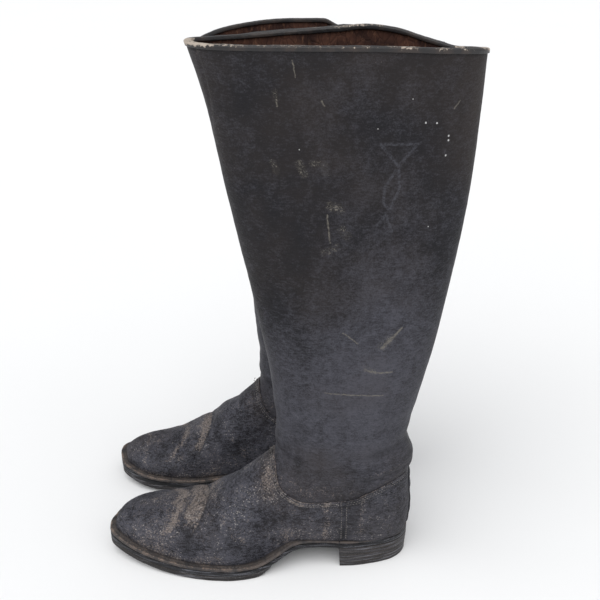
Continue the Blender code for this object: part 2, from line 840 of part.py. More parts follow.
def add_bottom(boot, looks):
    slab(boot, "outsole", EDGE, (None, None), outsole_bottom, OUTSOLE, looks["sole"])
    tread = (None, HALF_SOLE_END)
    slab(boot, "half_sole", EDGE, tread, half_sole_bottom, HALF_SOLE, looks["sole"], half_sole_end)
    strip(boot, "welt", WELT_WIDTH, None, HEEL_BREAST, looks["welt"])
    strip(boot, "heel_rand", RAND_WIDTH, HEEL_BREAST + GAP, 0, looks["welt"])
    insole = Outline(lambda x: upper_inset(x) + LINING_DEPTH + LINING + INSOLE_INSET)
    ends = (insole.toe[0] + TOE_BLUNTING, None)
    slab(boot, "insole", insole, ends, feather, INSOLE, looks["insole"])
    sock = Outline(lambda x: upper_inset(x) + LINING_DEPTH + LINING + SOCK_INSET)
    slab(boot, "heel_sock", sock, (SOCK_FRONT, None), sock_bottom, HEEL_SOCK, looks["insole"])
    cork = Outline(WELT_WIDTH + CORK_INSET)
    slab(boot, "cork_filler", cork, (None, CORK_END), welt_bottom, WELT - GAP, looks["cork"])
    shank = Strip(SHANK_WIDTH / 2)
    slab(boot, "shank", shank, SHANK_ENDS, welt_bottom, SHANK, looks["steel"])
    add_heel(boot, looks)


class Strip:
    """An outline with straight sides."""

    def __init__(self, half_width):
        self.half_width = half_width

    def y(self, x, side):
        return side * np.full(len(x), self.half_width)


def add_heel(boot, looks):
    """The stacked heel: a top piece that meets the ground, and the lifts up to the outsole."""
    heel_slab(boot, "heel_top_piece", HEEL_LIFTS * HEEL_TAPER, 0.0, HEEL_TOP_PIECE, looks["sole"])
    lift = (HEEL_HEIGHT - HEEL_TOP_PIECE - (HEEL_LIFTS + 1) * GAP) / HEEL_LIFTS
    for number in range(1, HEEL_LIFTS + 1):
        base = HEEL_HEIGHT - number * (lift + GAP)
        heel_slab(boot, f"heel_lift_{number}", (number - 1) * HEEL_TAPER, base, lift, looks["heel"])


# Pull straps


def strap_place(side):
    """Where a strap's fold lies, clear of its patch, and the wall's tangent and outward directions there."""
    z = np.linspace(PATCH_BOTTOM, STRAP_HINGE_Z, 9)
    points, normals = on_upper(np.full(9, STRAP_X), z, side)
    depth = LEATHER + LINING + PATCH + 4 * GAP + STRAP_CLEARANCE
    inner = points - normals * depth
    y = side * np.min(side * inner[:, 1])
    outward = Vector((normals[-1, 0], normals[-1, 1], 0)).normalized()
    along = Vector((-side * outward.y, side * outward.x, 0))
    return Vector((STRAP_X, y, STRAP_HINGE_Z)), along, outward


def add_strap_patch(boot, piece, side, surface):
    """The leather patch that the strap's ends are sewn under. It narrows in the middle."""
    rows = 7
    z = np.linspace(PATCH_BOTTOM, PATCH_TOP, rows)
    t = np.linspace(-1, 1, rows)
    half = PATCH_WAIST_HALF_WIDTH + (PATCH_HALF_WIDTH - PATCH_WAIST_HALF_WIDTH) * np.abs(t)
    across = np.linspace(-1, 1, 3)
    x = STRAP_X + half[:, None] * across[None, :]
    points, normals = on_upper(x, z[:, None] + 0 * x, side)
    depth = LEATHER + LINING + 4 * GAP
    faces = grid_faces(rows, len(across))
    boot.sheet(piece, points.reshape(-1, 3), normals.reshape(-1, 3), faces, (depth, depth + PATCH), surface)


def bend_line(radius, steps):
    """A half circle, as (across, down), from one leg of the fold to the other."""
    turns = [math.pi * k / steps for k in range(steps + 1)]
    return [(radius * math.cos(turn), radius * math.sin(turn)) for turn in turns]


def add_pull_strap(boot, piece, side, surface):
    """A strap folded into a flat loop that hangs from its sewn end, where its origin is."""
    pivot, along, outward = strap_place(side)
    near = STRAP_FOLD_GAP / 2
    far = STRAP_PLY + near
    fold = far - STRAP_LENGTH
    outside = bend_line(far, 6)
    inside = bend_line(near, 3)[::-1]
    profile = [(0.0, 0.0)]
    profile += [(far - across, fold - down) for across, down in outside]
    profile += [(2 * far, 0.0), (2 * far - STRAP_PLY, 0.0)]
    profile += [(far - across, fold - down) for across, down in inside]
    profile += [(STRAP_PLY, 0.0)]
    count = len(profile)
    points = []
    for end in (-1, 1):
        edge = pivot + along * (end * STRAP_WIDTH / 2)
        points += [tuple(edge - outward * inward + Vector((0, 0, up))) for inward, up in profile]
    points = np.array(points)
    walls = [(i, (i + 1) % count, count + (i + 1) % count, count + i) for i in range(count)]
    caps = [tuple(range(count))[::-1], tuple(range(count, 2 * count))]
    boot.add(piece, points, walls + caps, surface, smooth=False, pivot=tuple(pivot))


def add_boot(boot, looks):
    add_leg_panel(boot, "leg_outer_panel", -1, looks["leg"])
    add_leg_panel(boot, "leg_inner_panel", 1, looks["leg"])
    add_leg_lining(boot, looks["lining"])
    add_top_binding(boot, looks["binding"])
    add_vamp(boot, looks["vamp"])
    add_vamp_lining(boot, looks["lining"])
    add_toe_puff(boot, looks["stiffener"])
    add_counter_cover(boot, looks["vamp"])
    add_counter_stiffener(boot, looks["stiffener"])
    add_counter_lining(boot, looks["lining"])
    add_heel_stay(boot, looks["vamp"])
    add_bottom(boot, looks)
    for place, side in (("outer", -1), ("inner", 1)):
        add_strap_patch(boot, f"{place}_strap_patch", side, looks["lining"])
        add_pull_strap(boot, f"{place}_pull_strap", side, looks["strap"])


def main():
    for old in list(bpy.data.objects):
        bpy.data.objects.remove(old, do_unlink=True)
    looks = {
        "leg": material("leg_leather", BLACK_LEATHER, 0.55),
        "vamp": material("foot_leather", WORN_LEATHER, 0.70),
        "binding": material("binding_leather", BLACK_LEATHER, 0.50),
        "lining": material("lining_leather", LINING_BROWN, 0.80),
        "stiffener": material("stiffener_board", VEGETABLE_TAN, 0.80),
        "insole": material("insole_leather", VEGETABLE_TAN, 0.70),
        "welt": material("welt_leather", WORN_LEATHER, 0.65),
        "sole": material("sole_leather", SOLE_BLACK, 0.45),
        "heel": material("heel_leather", SOLE_BLACK, 0.50),
        "cork": material("cork", CORK, 0.90),
        "steel": material("shank_steel", STEEL, 0.35, 1.0),
        "strap": material("strap_webbing", WEBBING, 0.90),
    }
    back = float(smooth_through(LEG_BACK, RIM_OUTER[-1][1])) + GAP + BINDING
    toe = float(EDGE.toe[0]) - RIGHT_BOOT_AHEAD
    middle_x = (back + toe) / 2
    left_place = (-middle_x, -BOOT_SPACING / 2, 0.0)
    right_place = (-middle_x - RIGHT_BOOT_AHEAD, BOOT_SPACING / 2, 0.0)
    left = Boot("left", left_place, False, LEFT_TOE_RISE, LEFT_ANKLE_FORWARD)
    right = Boot("right", right_place, True, RIGHT_TOE_RISE, RIGHT_ANKLE_FORWARD)
    for boot in (left, right):
        add_boot(boot, looks)


main()
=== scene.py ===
"""The looks of a pair of tall, worn leather riding boots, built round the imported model.

Each boot is drawn in its own frame, in metres: its heel ends near x = 0, the toe points to -X, y = 0 is the
middle of the foot, the ground is z = 0. Boot.place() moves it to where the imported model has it.
"""

import itertools
import json
import math

import bmesh
import bpy
import numpy as np
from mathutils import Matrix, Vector


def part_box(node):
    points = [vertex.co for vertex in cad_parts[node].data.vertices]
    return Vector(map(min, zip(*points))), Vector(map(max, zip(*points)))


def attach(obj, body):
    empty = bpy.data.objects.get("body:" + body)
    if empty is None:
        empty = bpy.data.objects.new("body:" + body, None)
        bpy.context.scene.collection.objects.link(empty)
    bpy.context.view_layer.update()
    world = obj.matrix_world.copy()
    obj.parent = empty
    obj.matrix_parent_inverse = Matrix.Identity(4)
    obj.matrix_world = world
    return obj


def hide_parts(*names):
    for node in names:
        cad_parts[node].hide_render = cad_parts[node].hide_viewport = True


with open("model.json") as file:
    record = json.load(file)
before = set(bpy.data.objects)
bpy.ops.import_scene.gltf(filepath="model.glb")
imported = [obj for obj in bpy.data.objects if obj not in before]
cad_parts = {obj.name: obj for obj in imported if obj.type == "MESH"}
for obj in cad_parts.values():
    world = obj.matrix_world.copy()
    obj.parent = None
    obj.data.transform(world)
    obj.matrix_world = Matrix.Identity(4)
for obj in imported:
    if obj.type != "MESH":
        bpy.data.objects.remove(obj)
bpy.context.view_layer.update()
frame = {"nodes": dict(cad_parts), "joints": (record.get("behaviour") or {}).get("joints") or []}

# The shape that the model was drawn from
GAP = 0.0003
LEATHER = 0.0022
LINING = 0.0012
SOLE_LENGTH = 0.2915
HALF_SOLE = 0.0052
OUTSOLE = 0.0048
WELT = 0.0032
RAND = 0.0020
TOE_SPRING = 0.012
TOE_SPRING_FROM = -0.195
WAIST_FROM = -0.148
WAIST_TO = -0.101
HALF_SOLE_END = -0.124
HALF_SOLE_CORNER = 0.022
HEEL_BREAST = -0.066
HEEL_HEIGHT = 0.0225
HEEL_TOP_PIECE = 0.0050
HEEL_LIFTS = 4
HEEL_TAPER = 0.0003
WELT_EDGE = 0.006
HEEL_OVERHANG = 0.0008
SOLE_EDGE = (
    (-0.2909, -0.001), (-0.2852, -0.0150), (-0.257, -0.0335), (-0.215, -0.048), (-0.168, -0.0532),
    (-0.131, -0.044), (-0.108, -0.0350), (-0.084, -0.0318), (-0.050, -0.0325), (-0.012, -0.0215),
    (0.002, 0.000), (-0.012, 0.0215), (-0.050, 0.0315), (-0.092, 0.028), (-0.150, 0.036),
    (-0.205, 0.0465), (-0.252, 0.0458), (-0.2805, 0.0295), (-0.2882, 0.0135),
)
INSTEP = (
    (-0.2855, 0.0265), (-0.284, 0.0305), (-0.279, 0.0350), (-0.270, 0.0392), (-0.258, 0.042),
    (-0.240, 0.0446), (-0.222, 0.0485), (-0.205, 0.055), (-0.186, 0.066), (-0.171, 0.078),
    (-0.151, 0.094), (-0.137, 0.105), (-0.128, 0.114),
)
INSTEP_IN_LEG = ((-0.122, 0.140), (-0.110, 0.200), (-0.080, 0.300), (0.060, 0.320))
LEG_FRONT = (
    (0.114, -0.128), (0.124, -0.126), (0.150, -0.1255), (0.200, -0.130), (0.278, -0.145), (0.365, -0.163),
    (0.445, -0.1782), (0.490, -0.1918),
)
LEG_BACK = (
    (0.028, 0.0005), (0.054, 0.0030), (0.075, 0.0016), (0.097, 0.0004), (0.111, 0.0038), (0.138, -0.0028),
    (0.181, 0.0055), (0.231, 0.0165), (0.300, 0.0280), (0.380, 0.0375), (0.440, 0.0405), (0.490, 0.0420),
)
HALF_WIDTH = (
    (0.028, 0.031), (0.050, 0.034), (0.080, 0.035), (0.130, 0.0365), (0.200, 0.038), (0.330, 0.036),
    (0.420, 0.036), (0.490, 0.0415),
)
WIDEST_AT = ((0.028, -0.045), (0.075, -0.050), (0.120, -0.062), (0.490, -0.074))
LEG_POWER = 2.2
TOE_POWER = 2.5
FOOT_SWELL = 0.10
SEAM = (
    (0, 0.114), (20, 0.111), (38, 0.101), (55, 0.086), (70, 0.0757), (85, 0.079), (100, 0.087),
    (130, 0.0965), (180, 0.104),
)
SIDE_SEAM = -0.062
THROAT = -0.128
TOE_END = -0.2854
RIM_OUTER = ((0, 0.4905), (40, 0.492), (90, 0.493), (140, 0.489), (180, 0.4855))
RIM_INNER = (
    (0, 0.4905), (45, 0.4905), (65, 0.492), (90, 0.4955), (100, 0.4978), (112, 0.4953), (128, 0.488),
    (146, 0.483), (180, 0.4855),
)
RIGHT_SINK = 0.008
RIGHT_FRONT_SINK = 0.0118
RIGHT_FRONT_ANGLE = 80
RIGHT_BACK_SINK = 0.008
RIGHT_BACK_ANGLES = (98, 165)
RIM_STEP = 0.006
RIM_STEP_ANGLES = (92, 99)
BINDING = 0.0011
BINDING_DEPTH = 0.0038
STRAP_X = -0.023
STRAP_LENGTH = 0.040
STRAP_WIDTH = 0.025
STRAP_PLY = 0.0013
STRAP_FOLD_GAP = 0.0010
PATCH = 0.0016
PATCH_BOTTOM = 0.366
PATCH_TOP = 0.4235
PATCH_HALF_WIDTH = 0.0145
PATCH_WAIST_HALF_WIDTH = 0.008
TOE_RISE = {"left": 0.0045, "right": -0.003}
ANKLE_FORWARD = {"left": 0.0, "right": 0.008}

# Looks only: the skived top edge of vamp and counter, the leg above and below it, and the bottom's edge
SKIVE = 0.0008
SKIVE_WIDTH = 0.007
FINE_ROWS_HEIGHT = 0.012
TUCK = 0.005
SEAM_ROWS = (0.0022, 0.0044)
WELT_REACH = 0.0105
RAND_REACH = 0.0095
WELT_STITCH_INSET = 0.0032
PATCH_STITCH_INSET = 0.0025
THREAD_PITCH = 0.0011


# Curves


def smooth_through(stations, at):
    """A smooth curve through (position, value) stations that never overshoots between two of them."""
    xs = np.array([s[0] for s in stations], float)
    ys = np.array([s[1] for s in stations], float)
    steps = np.diff(xs)
    slopes = np.diff(ys) / steps
    tangents = np.zeros(len(xs))
    tangents[0] = slopes[0]
    tangents[-1] = slopes[-1]
    for i in range(1, len(xs) - 1):
        if slopes[i - 1] * slopes[i] > 0:
            tangents[i] = 2 / (1 / slopes[i - 1] + 1 / slopes[i])
    at = np.clip(at, xs[0], xs[-1])
    i = np.clip(np.searchsorted(xs, at, side="right") - 1, 0, len(xs) - 2)
    t = (at - xs[i]) / steps[i]
    return (
        (2 * t**3 - 3 * t**2 + 1) * ys[i]
        + (t**3 - 2 * t**2 + t) * steps[i] * tangents[i]
        + (3 * t**2 - 2 * t**3) * ys[i + 1]
        + (t**3 - t**2) * steps[i] * tangents[i + 1]
    )


def smoothstep(low, high, at):
    t = np.clip((at - low) / (high - low), 0, 1)
    return t * t * (3 - 2 * t)


def fading(low, high, at):
    return 1 - smoothstep(low, high, at)


def bell(at, centre, width):
    return np.exp(-(((at - centre) / width) ** 2))


def closed_spline(points, per_span):
    """Points along a closed Catmull-Rom spline."""
    p = np.array(points, float)
    t = np.linspace(0, 1, per_span, endpoint=False)[:, None]
    spans = []
    for i in range(len(p)):
        a, b, c, d = (p[(i + k) % len(p)] for k in (-1, 0, 1, 2))
        curve = 2 * a - 5 * b + 4 * c - d
        twist = 3 * b - a - 3 * c + d
        spans.append(0.5 * (2 * b + (c - a) * t + curve * t**2 + twist * t**3))
    return np.concatenate(spans)


def random_at(ix, iy, iz, seed):
    """A repeatable value from 0 to 1 for each whole-number place."""
    h = (ix * 374761393 + iy * 668265263 + iz * 2147483647 + seed * 1274126177) & 0xFFFFFFFF
    h = ((h ^ (h >> 13)) * 1103515245) & 0xFFFFFFFF
    return ((h ^ (h >> 16)) & 0xFFFF) / 65535.0


def noise(points, size, seed):
    """Smooth noise from -1 to 1, with bumps of about this size."""
    q = np.asarray(points, float) / np.asarray(size, float)
    base = np.floor(q).astype(np.int64)
    f = q - base
    f = f * f * (3 - 2 * f)
    total = 0
    for corner in itertools.product((0, 1), repeat=3):
        wx, wy, wz = np.moveaxis(np.abs(1 - np.array(corner) - f), -1, 0)
        total = total + wx * wy * wz * random_at(*np.moveaxis(base + corner, -1, 0), seed)
    return 2 * total - 1


def fractal(points, size, octaves, seed):
    """Noise of this size with finer noise on top."""
    parts = [noise(points, np.asarray(size) / 2.0**k, seed + k) * 0.5**k for k in range(octaves)]
    return sum(parts) / 1.5


def to_segment(x, z, a, b):
    """(distance, share along) of places in the side view from a segment."""
    a, b = np.array(a, float), np.array(b, float)
    d = b - a
    t = np.clip(((x - a[0]) * d[0] + (z - a[1]) * d[1]) / (d @ d), 0, 1)
    return np.hypot(x - a[0] - t * d[0], z - a[1] - t * d[1]), t


# Bottom surfaces


def outsole_bottom(x):
    """Height of the outsole's underside: it rises at the toe, and behind the tread up to the heel."""
    spring = TOE_SPRING * (np.clip(TOE_SPRING_FROM - x, 0, None) / (TOE_SPRING_FROM + SOLE_LENGTH)) ** 1.7
    rise = HEEL_HEIGHT - HALF_SOLE - GAP
    return HALF_SOLE + GAP + spring + rise * smoothstep(WAIST_FROM, WAIST_TO, x)


def welt_thickness(x):
    return WELT + (RAND - WELT) * smoothstep(-0.110, HEEL_BREAST, x)


def welt_bottom(x):
    return outsole_bottom(x) + OUTSOLE + GAP


def feather(x):
    """Height at which the upper meets the welt or the rand."""
    return welt_bottom(x) + welt_thickness(x) + GAP


class Outline:
    """The sole's edge moved inwards by a distance, read as a half width at each x."""

    def __init__(self, inset):
        edge = closed_spline(SOLE_EDGE, 40)
        ahead = np.roll(edge, -1, axis=0) - np.roll(edge, 1, axis=0)
        inward = np.stack([-ahead[:, 1], ahead[:, 0]], axis=1)
        inward /= np.linalg.norm(inward, axis=1)[:, None]
        distance = (inset(edge[:, 0]) if callable(inset) else inset) * np.ones(len(edge))
        moved = edge + inward * distance[:, None]
        nearest = np.min(np.linalg.norm(moved[:, None] - edge[None], axis=2), axis=1)
        moved = moved[nearest >= 0.96 * distance]
        toe = int(np.argmin(moved[:, 0]))
        moved = np.roll(moved, -toe, axis=0)
        heel = int(np.argmax(moved[:, 0]))
        self.toe = moved[0]
        self.heel = moved[heel]
        self.loop = moved
        self.sides = {-1: moved[: heel + 1], 1: np.concatenate([moved[heel:], moved[:1]])[::-1]}

    def y(self, x, side):
        line = self.sides[side]
        return np.interp(x, line[:, 0], line[:, 1])


def upper_inset(x):
    welt = WELT_EDGE * fading(-0.150, -0.095, x)
    return welt - HEEL_OVERHANG * smoothstep(-0.095, -0.050, x)


FOOT = Outline(upper_inset)
EDGE = Outline(0.0)


# The upper's surface


def instep_height(x):
    return smooth_through(INSTEP + INSTEP_IN_LEG, x)


def front_edge(z):
    """The front of the leg at a height, and below it the line of the instep."""
    low = np.interp(z, [p[1] for p in INSTEP], [p[0] for p in INSTEP])
    return np.where(z < LEG_FRONT[0][0], low, smooth_through(LEG_FRONT, z))


def superellipse(ratio, power):
    inside = 1 - np.abs(ratio) ** power
    return np.sign(inside) * np.abs(inside) ** (2 / power)


def leg_reach(x, z):
    """The leg's widest place at a height, and how far its front or back edge is from there."""
    middle = smooth_through(WIDEST_AT, z)
    return middle, np.where(x < middle, middle - front_edge(z), smooth_through(LEG_BACK, z) - middle)


def width_squared(x, z, side):
    """The square of the upper's half width on one side: the foot's shape below, the leg's above."""
    low = feather(x)
    top = instep_height(x)
    up = np.clip((z - low) / np.maximum(top - low, 0.0005), 0, 1.5)
    foot_width = np.abs(FOOT.y(x, side)) * (1 + FOOT_SWELL * up * (1 - up))
    foot = foot_width**2 * superellipse(up, TOE_POWER)
    middle, reach = leg_reach(x, z)
    leg = smooth_through(HALF_WIDTH, z) ** 2 * superellipse((x - middle) / reach, LEG_POWER)
    share = 1 - fading(-0.165, -0.090, x) * fading(0.060, 0.108, z)
    return foot * (1 - share) + leg * share


def on_upper(x, z, side):
    """Points of the upper's surface and their outward normals."""
    x, z = np.broadcast_arrays(np.asarray(x, float), np.asarray(z, float))
    h = 0.0002
    y = side * np.sqrt(np.maximum(width_squared(x, z, side), 0))
    nx = -(width_squared(x + h, z, side) - width_squared(x - h, z, side)) / (4 * h)
    nz = -(width_squared(x, z + h, side) - width_squared(x, z - h, side)) / (4 * h)
    normal = np.stack([nx, y, nz], axis=-1)
    normal /= np.maximum(np.linalg.norm(normal, axis=-1, keepdims=True), 1e-12)
    return np.stack([x, y, z], axis=-1), normal


def x_at_angle(degrees, z):
    """The place on the leg at an angle round it: 0 in front, 90 at the side, 180 behind."""
    turn = np.cos(np.radians(degrees))
    along = np.abs(turn) ** (2 / LEG_POWER)
    middle = smooth_through(WIDEST_AT, z)
    front = middle - (middle - front_edge(z)) * along
    back = middle + (smooth_through(LEG_BACK, z) - middle) * along
    return np.where(turn > 0, front, back)


def angle_at(x, z):
    middle, reach = leg_reach(x, z)
    along = np.clip(np.abs(x - middle) / reach, 0, 1) ** (LEG_POWER / 2)
    degrees = np.degrees(np.arccos(along))
    return np.where(x < middle, degrees, 180 - degrees)


def seam_height(degrees):
    return smooth_through(SEAM, degrees)


SEAM_ANGLES = np.linspace(0, 180, 361)
SEAM_LINE = (x_at_angle(SEAM_ANGLES, seam_height(SEAM_ANGLES)), seam_height(SEAM_ANGLES))


def seam_at(x):
    return np.interp(x, *SEAM_LINE)


def below_seam(x, z):
    """How far a place in the side view lies below the vamp's and counter's top edge."""
    ahead = np.hypot(x - THROAT, z - seam_height(0))
    return np.where(x < THROAT, ahead, seam_at(x) - z)


def rim_height(degrees, side, right):
    """The leg's top edge by the angle round it. The right boot's has sunk."""
    height = smooth_through(RIM_OUTER if side < 0 else RIM_INNER, degrees)
    if right:
        height = height - RIGHT_SINK
        height = height - RIGHT_FRONT_SINK * fading(0, RIGHT_FRONT_ANGLE, degrees)
        height = height - RIGHT_BACK_SINK * smoothstep(*RIGHT_BACK_ANGLES, degrees)
        if side < 0:
            height = height - RIM_STEP * smoothstep(*RIM_STEP_ANGLES, degrees)
    return height


class Boot:
    """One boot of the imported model: where it is, and how wear has set it."""

    def __init__(self, name, mirrored):
        self.name = name
        self.mirrored = mirrored
        self.body = name + "_boot"
        hinges = [j["pos_m"] for j in frame["joints"] if j["name"].startswith(name) and j["type"] == "hinge"]
        middle = sum(p[1] for p in hinges) / len(hinges)
        low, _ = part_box(name + "_outsole")
        self.origin = np.array([low.x - EDGE.toe[0], middle, 0.0])
        self.seed = 50 if mirrored else 0

    def place(self, points):
        points = np.array(points, float)
        x, z = points[..., 0].copy(), points[..., 2].copy()
        at_toe = smoothstep(-0.170, -0.235, x) * smoothstep(0.018, 0.034, z)
        at_bend = smoothstep(-0.050, -0.125, x) * smoothstep(0.060, 0.125, z) * smoothstep(0.290, 0.180, z)
        points[..., 2] += TOE_RISE[self.name] * at_toe
        points[..., 0] -= ANKLE_FORWARD[self.name] * at_bend
        if self.mirrored:
            points[..., 1] *= -1
        return points + self.origin

    def varied(self, points):
        """The places to read noise at, which differ from one boot to the other."""
        return points + np.array([self.seed, 0, 0])


# Meshes


def grid_faces(rows, columns, closed=False):
    r, c = np.meshgrid(np.arange(rows - 1), np.arange(columns if closed else columns - 1), indexing="ij")
    d = (c + 1) % columns
    corners = (r * columns + c, r * columns + d, (r + 1) * columns + d, (r + 1) * columns + c)
    return np.stack(corners, axis=-1).reshape(-1, 4).tolist()


def add_piece(boot, name, points, faces, surface, replaced, values=None, body=None, sharp=50):
    """A closed mesh from points in the boot's own frame. values holds numbers that its material reads."""
    mesh = bpy.data.meshes.new(f"{boot.name}_{name}")
    mesh.from_pydata(boot.place(points).tolist(), [], faces)
    for key, value in (values or {}).items():
        attribute = mesh.attributes.new(key, "FLOAT", "POINT")
        attribute.data.foreach_set("value", np.ascontiguousarray(value, np.float32).ravel())
    bm = bmesh.new()
    bm.from_mesh(mesh)
    bmesh.ops.remove_doubles(bm, verts=bm.verts, dist=0.00001)
    bmesh.ops.dissolve_degenerate(bm, edges=bm.edges, dist=0.00001)
    bmesh.ops.recalc_face_normals(bm, faces=bm.faces)
    if bm.calc_volume(signed=True) < 0:
        bmesh.ops.reverse_faces(bm, faces=bm.faces)
    bm.to_mesh(mesh)
    bm.free()
    mesh.shade_smooth()
    mesh.set_sharp_from_angle(angle=math.radians(sharp))
    mesh.materials.append(surface)
    made = bpy.data.objects.new(mesh.name, mesh)
    bpy.context.scene.collection.objects.link(made)
    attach(made, body or boot.body)
    if replaced:
        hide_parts(*[f"{boot.name}_{node}" for node in replaced])


def thick(outer, inner, faces):
    """Two matching patches joined round their open edges."""
    count = len(outer)
    used = {}
    for face in faces:
        for a, b in zip(face, face[1:] + face[:1]):
            used[(a, b)] = True
    walls = [[b, a, a + count, b + count] for a, b in used if (b, a) not in used]
    back = [[i + count for i in reversed(face)] for face in faces]
    return np.concatenate([outer, inner]), faces + back + walls


def doubled(values):
    return {key: np.concatenate([value.ravel(), value.ravel()]) for key, value in values.items()}


def look_amounts(**values):
    """Where worn_leather() is pale, brown, tan, dark and lined, from 0 to 1."""
    return {key: np.clip(value, 0, 1) for key, value in values.items()}


def thick_grid(outer, inner, closed=False):
    faces = grid_faces(*outer.shape[:2], closed)
    return thick(outer.reshape(-1, 3), inner.reshape(-1, 3), faces)


def tube_faces(rings, around):
    """A grid closed round its section, with both ends capped."""
    last = (rings - 1) * around
    ends = [list(range(around)), [last + k for k in reversed(range(around))]]
    return grid_faces(rings, around, closed=True) + ends


def border(rows, columns, step):
    """Indices round the edge of a grid, every step places."""
    index = np.arange(rows * columns).reshape(rows, columns)[::step, ::step]
    return np.concatenate([index[0], index[1:, -1], index[-1, -2::-1], index[-2:0:-1, 0]])


def thick_fine(outer, inner, step):
    """A finely meshed outer grid with an inner grid of every step-th place behind it."""
    rows, columns = outer.shape[:2]
    coarse = inner[::step, ::step]
    count = rows * columns
    fine_edge = border(rows, columns, 1)
    lookup = -np.ones(count, int)
    lookup[np.arange(count).reshape(rows, columns)[::step, ::step].ravel()] = np.arange(coarse[..., 0].size)
    coarse_edge = lookup[border(rows, columns, step)] + count
    faces = grid_faces(rows, columns)
    faces += [[i + count for i in reversed(face)] for face in grid_faces(*coarse.shape[:2])]
    for k in range(len(coarse_edge)):
        here, there = int(coarse_edge[k]), int(coarse_edge[(k + 1) % len(coarse_edge)])
        run = [int(fine_edge[(k * step + i) % len(fine_edge)]) for i in range(step + 1)]
        for i in range(step):
            faces.append([run[i + 1], run[i], here if i < step // 2 else there])
        faces.append([run[step // 2], here, there])
    return np.concatenate([outer.reshape(-1, 3), coarse.reshape(-1, 3)]), faces


def fine_values(values, step):
    return {key: np.concatenate([v.ravel(), v[::step, ::step].ravel()]) for key, v in values.items()}


# Materials


class Value:
    """A number or a colour made by a material's nodes, so that arithmetic on it reads as arithmetic."""

    def __init__(self, nodes, socket):
        self.nodes = nodes
        self.socket = socket

    def __add__(self, other):
        return self.nodes.math("ADD", self, other)

    def __sub__(self, other):
        return self.nodes.math("SUBTRACT", self, other)

    def __rsub__(self, other):
        return self.nodes.math("SUBTRACT", other, self)

    def __mul__(self, other):
        return self.nodes.math("MULTIPLY", self, other)

    __radd__ = __add__
    __rmul__ = __mul__

    def clamped(self):
        self.socket.node.use_clamp = True
        return self

    def ramp(self, low, high, first=0.0, last=1.0):
        """first below low and last above high, with a smooth step between."""
        node = self.nodes.new("ShaderNodeMapRange", interpolation_type="SMOOTHSTEP")
        return self.nodes.fill(node, (self, low, high, first, last))

    def spread(self, share):
        """Noise drawn out to plus or minus half of a share."""
        return (self.ramp(0.32, 0.68) - 0.5) * share


class Nodes:
    """A material's node tree. Places are in metres, in the object's own space."""

    def __init__(self, name=None, tree=None):
        self.tree = tree
        if name:
            self.material = bpy.data.materials.new(name)
            self.material.use_nodes = True
            self.tree = self.material.node_tree
            self.shader = self.tree.nodes["Principled BSDF"]
            self.at = self.new("ShaderNodeTexCoord").outputs["Object"]

    def new(self, kind, **settings):
        node = self.tree.nodes.new(kind)
        for key, value in settings.items():
            setattr(node, key, value)
        return node

    def put(self, value, socket):
        value = getattr(value, "socket", value)
        if isinstance(value, bpy.types.NodeSocket):
            self.tree.links.new(value, socket)
        elif socket.type == "RGBA":
            socket.default_value = (*value, 1.0)
        else:
            socket.default_value = value

    def fill(self, node, values, output=0):
        """Puts values into a node's inputs, in order or by name, and gives one of its outputs."""
        named = values.items() if isinstance(values, dict) else enumerate(values)
        for key, value in named:
            self.put(value, node.inputs[key])
        return Value(self, node.outputs[output])

    def math(self, operation, *values):
        return self.fill(self.new("ShaderNodeMath", operation=operation), values)

    def vector(self, operation, *values):
        node = self.new("ShaderNodeVectorMath", operation=operation)
        return self.fill(node, values, "Value" if operation in ("DOT_PRODUCT", "LENGTH") else "Vector")

    def stretched(self, factors):
        """The object's own places, scaled by these factors if there are any."""
        if factors:
            return self.fill(self.new("ShaderNodeMapping"), {"Vector": self.at, "Scale": factors})
        return self.at

    def noise(self, scale, detail=2.0, roughness=0.5, stretch=None, distortion=0.0):
        values = {"Vector": self.stretched(stretch), "Scale": scale, "Detail": detail}
        values |= {"Roughness": roughness, "Distortion": distortion}
        return self.fill(self.new("ShaderNodeTexNoise"), values)

    def cells(self, scale, feature="DISTANCE_TO_EDGE", stretch=None):
        node = self.new("ShaderNodeTexVoronoi", feature=feature)
        return self.fill(node, {"Vector": self.stretched(stretch), "Scale": scale}, "Distance")

    def mix(self, share, a, b):
        node = self.new("ShaderNodeMix", data_type="RGBA")
        return self.fill(node, {"Factor": share, 6: a, 7: b}, 2)

    def value_of(self, name):
        return Value(self, self.new("ShaderNodeAttribute", attribute_name=name).outputs["Fac"])

    def finish(self, colour, roughness, height=None, depth=0.0, **settings):
        """Gives the material its colour, its roughness and a relief of this depth."""
        self.fill(self.shader, {"Base Color": colour, "Roughness": roughness})
        if height is not None:
            relief = {"Strength": 1.0, "Distance": depth, "Height": height}
            self.put(self.fill(self.new("ShaderNodeBump"), relief), self.shader.inputs["Normal"])
        for key, value in settings.items():
            self.shader.inputs[key.replace("_", " ")].default_value = value
        return self.material


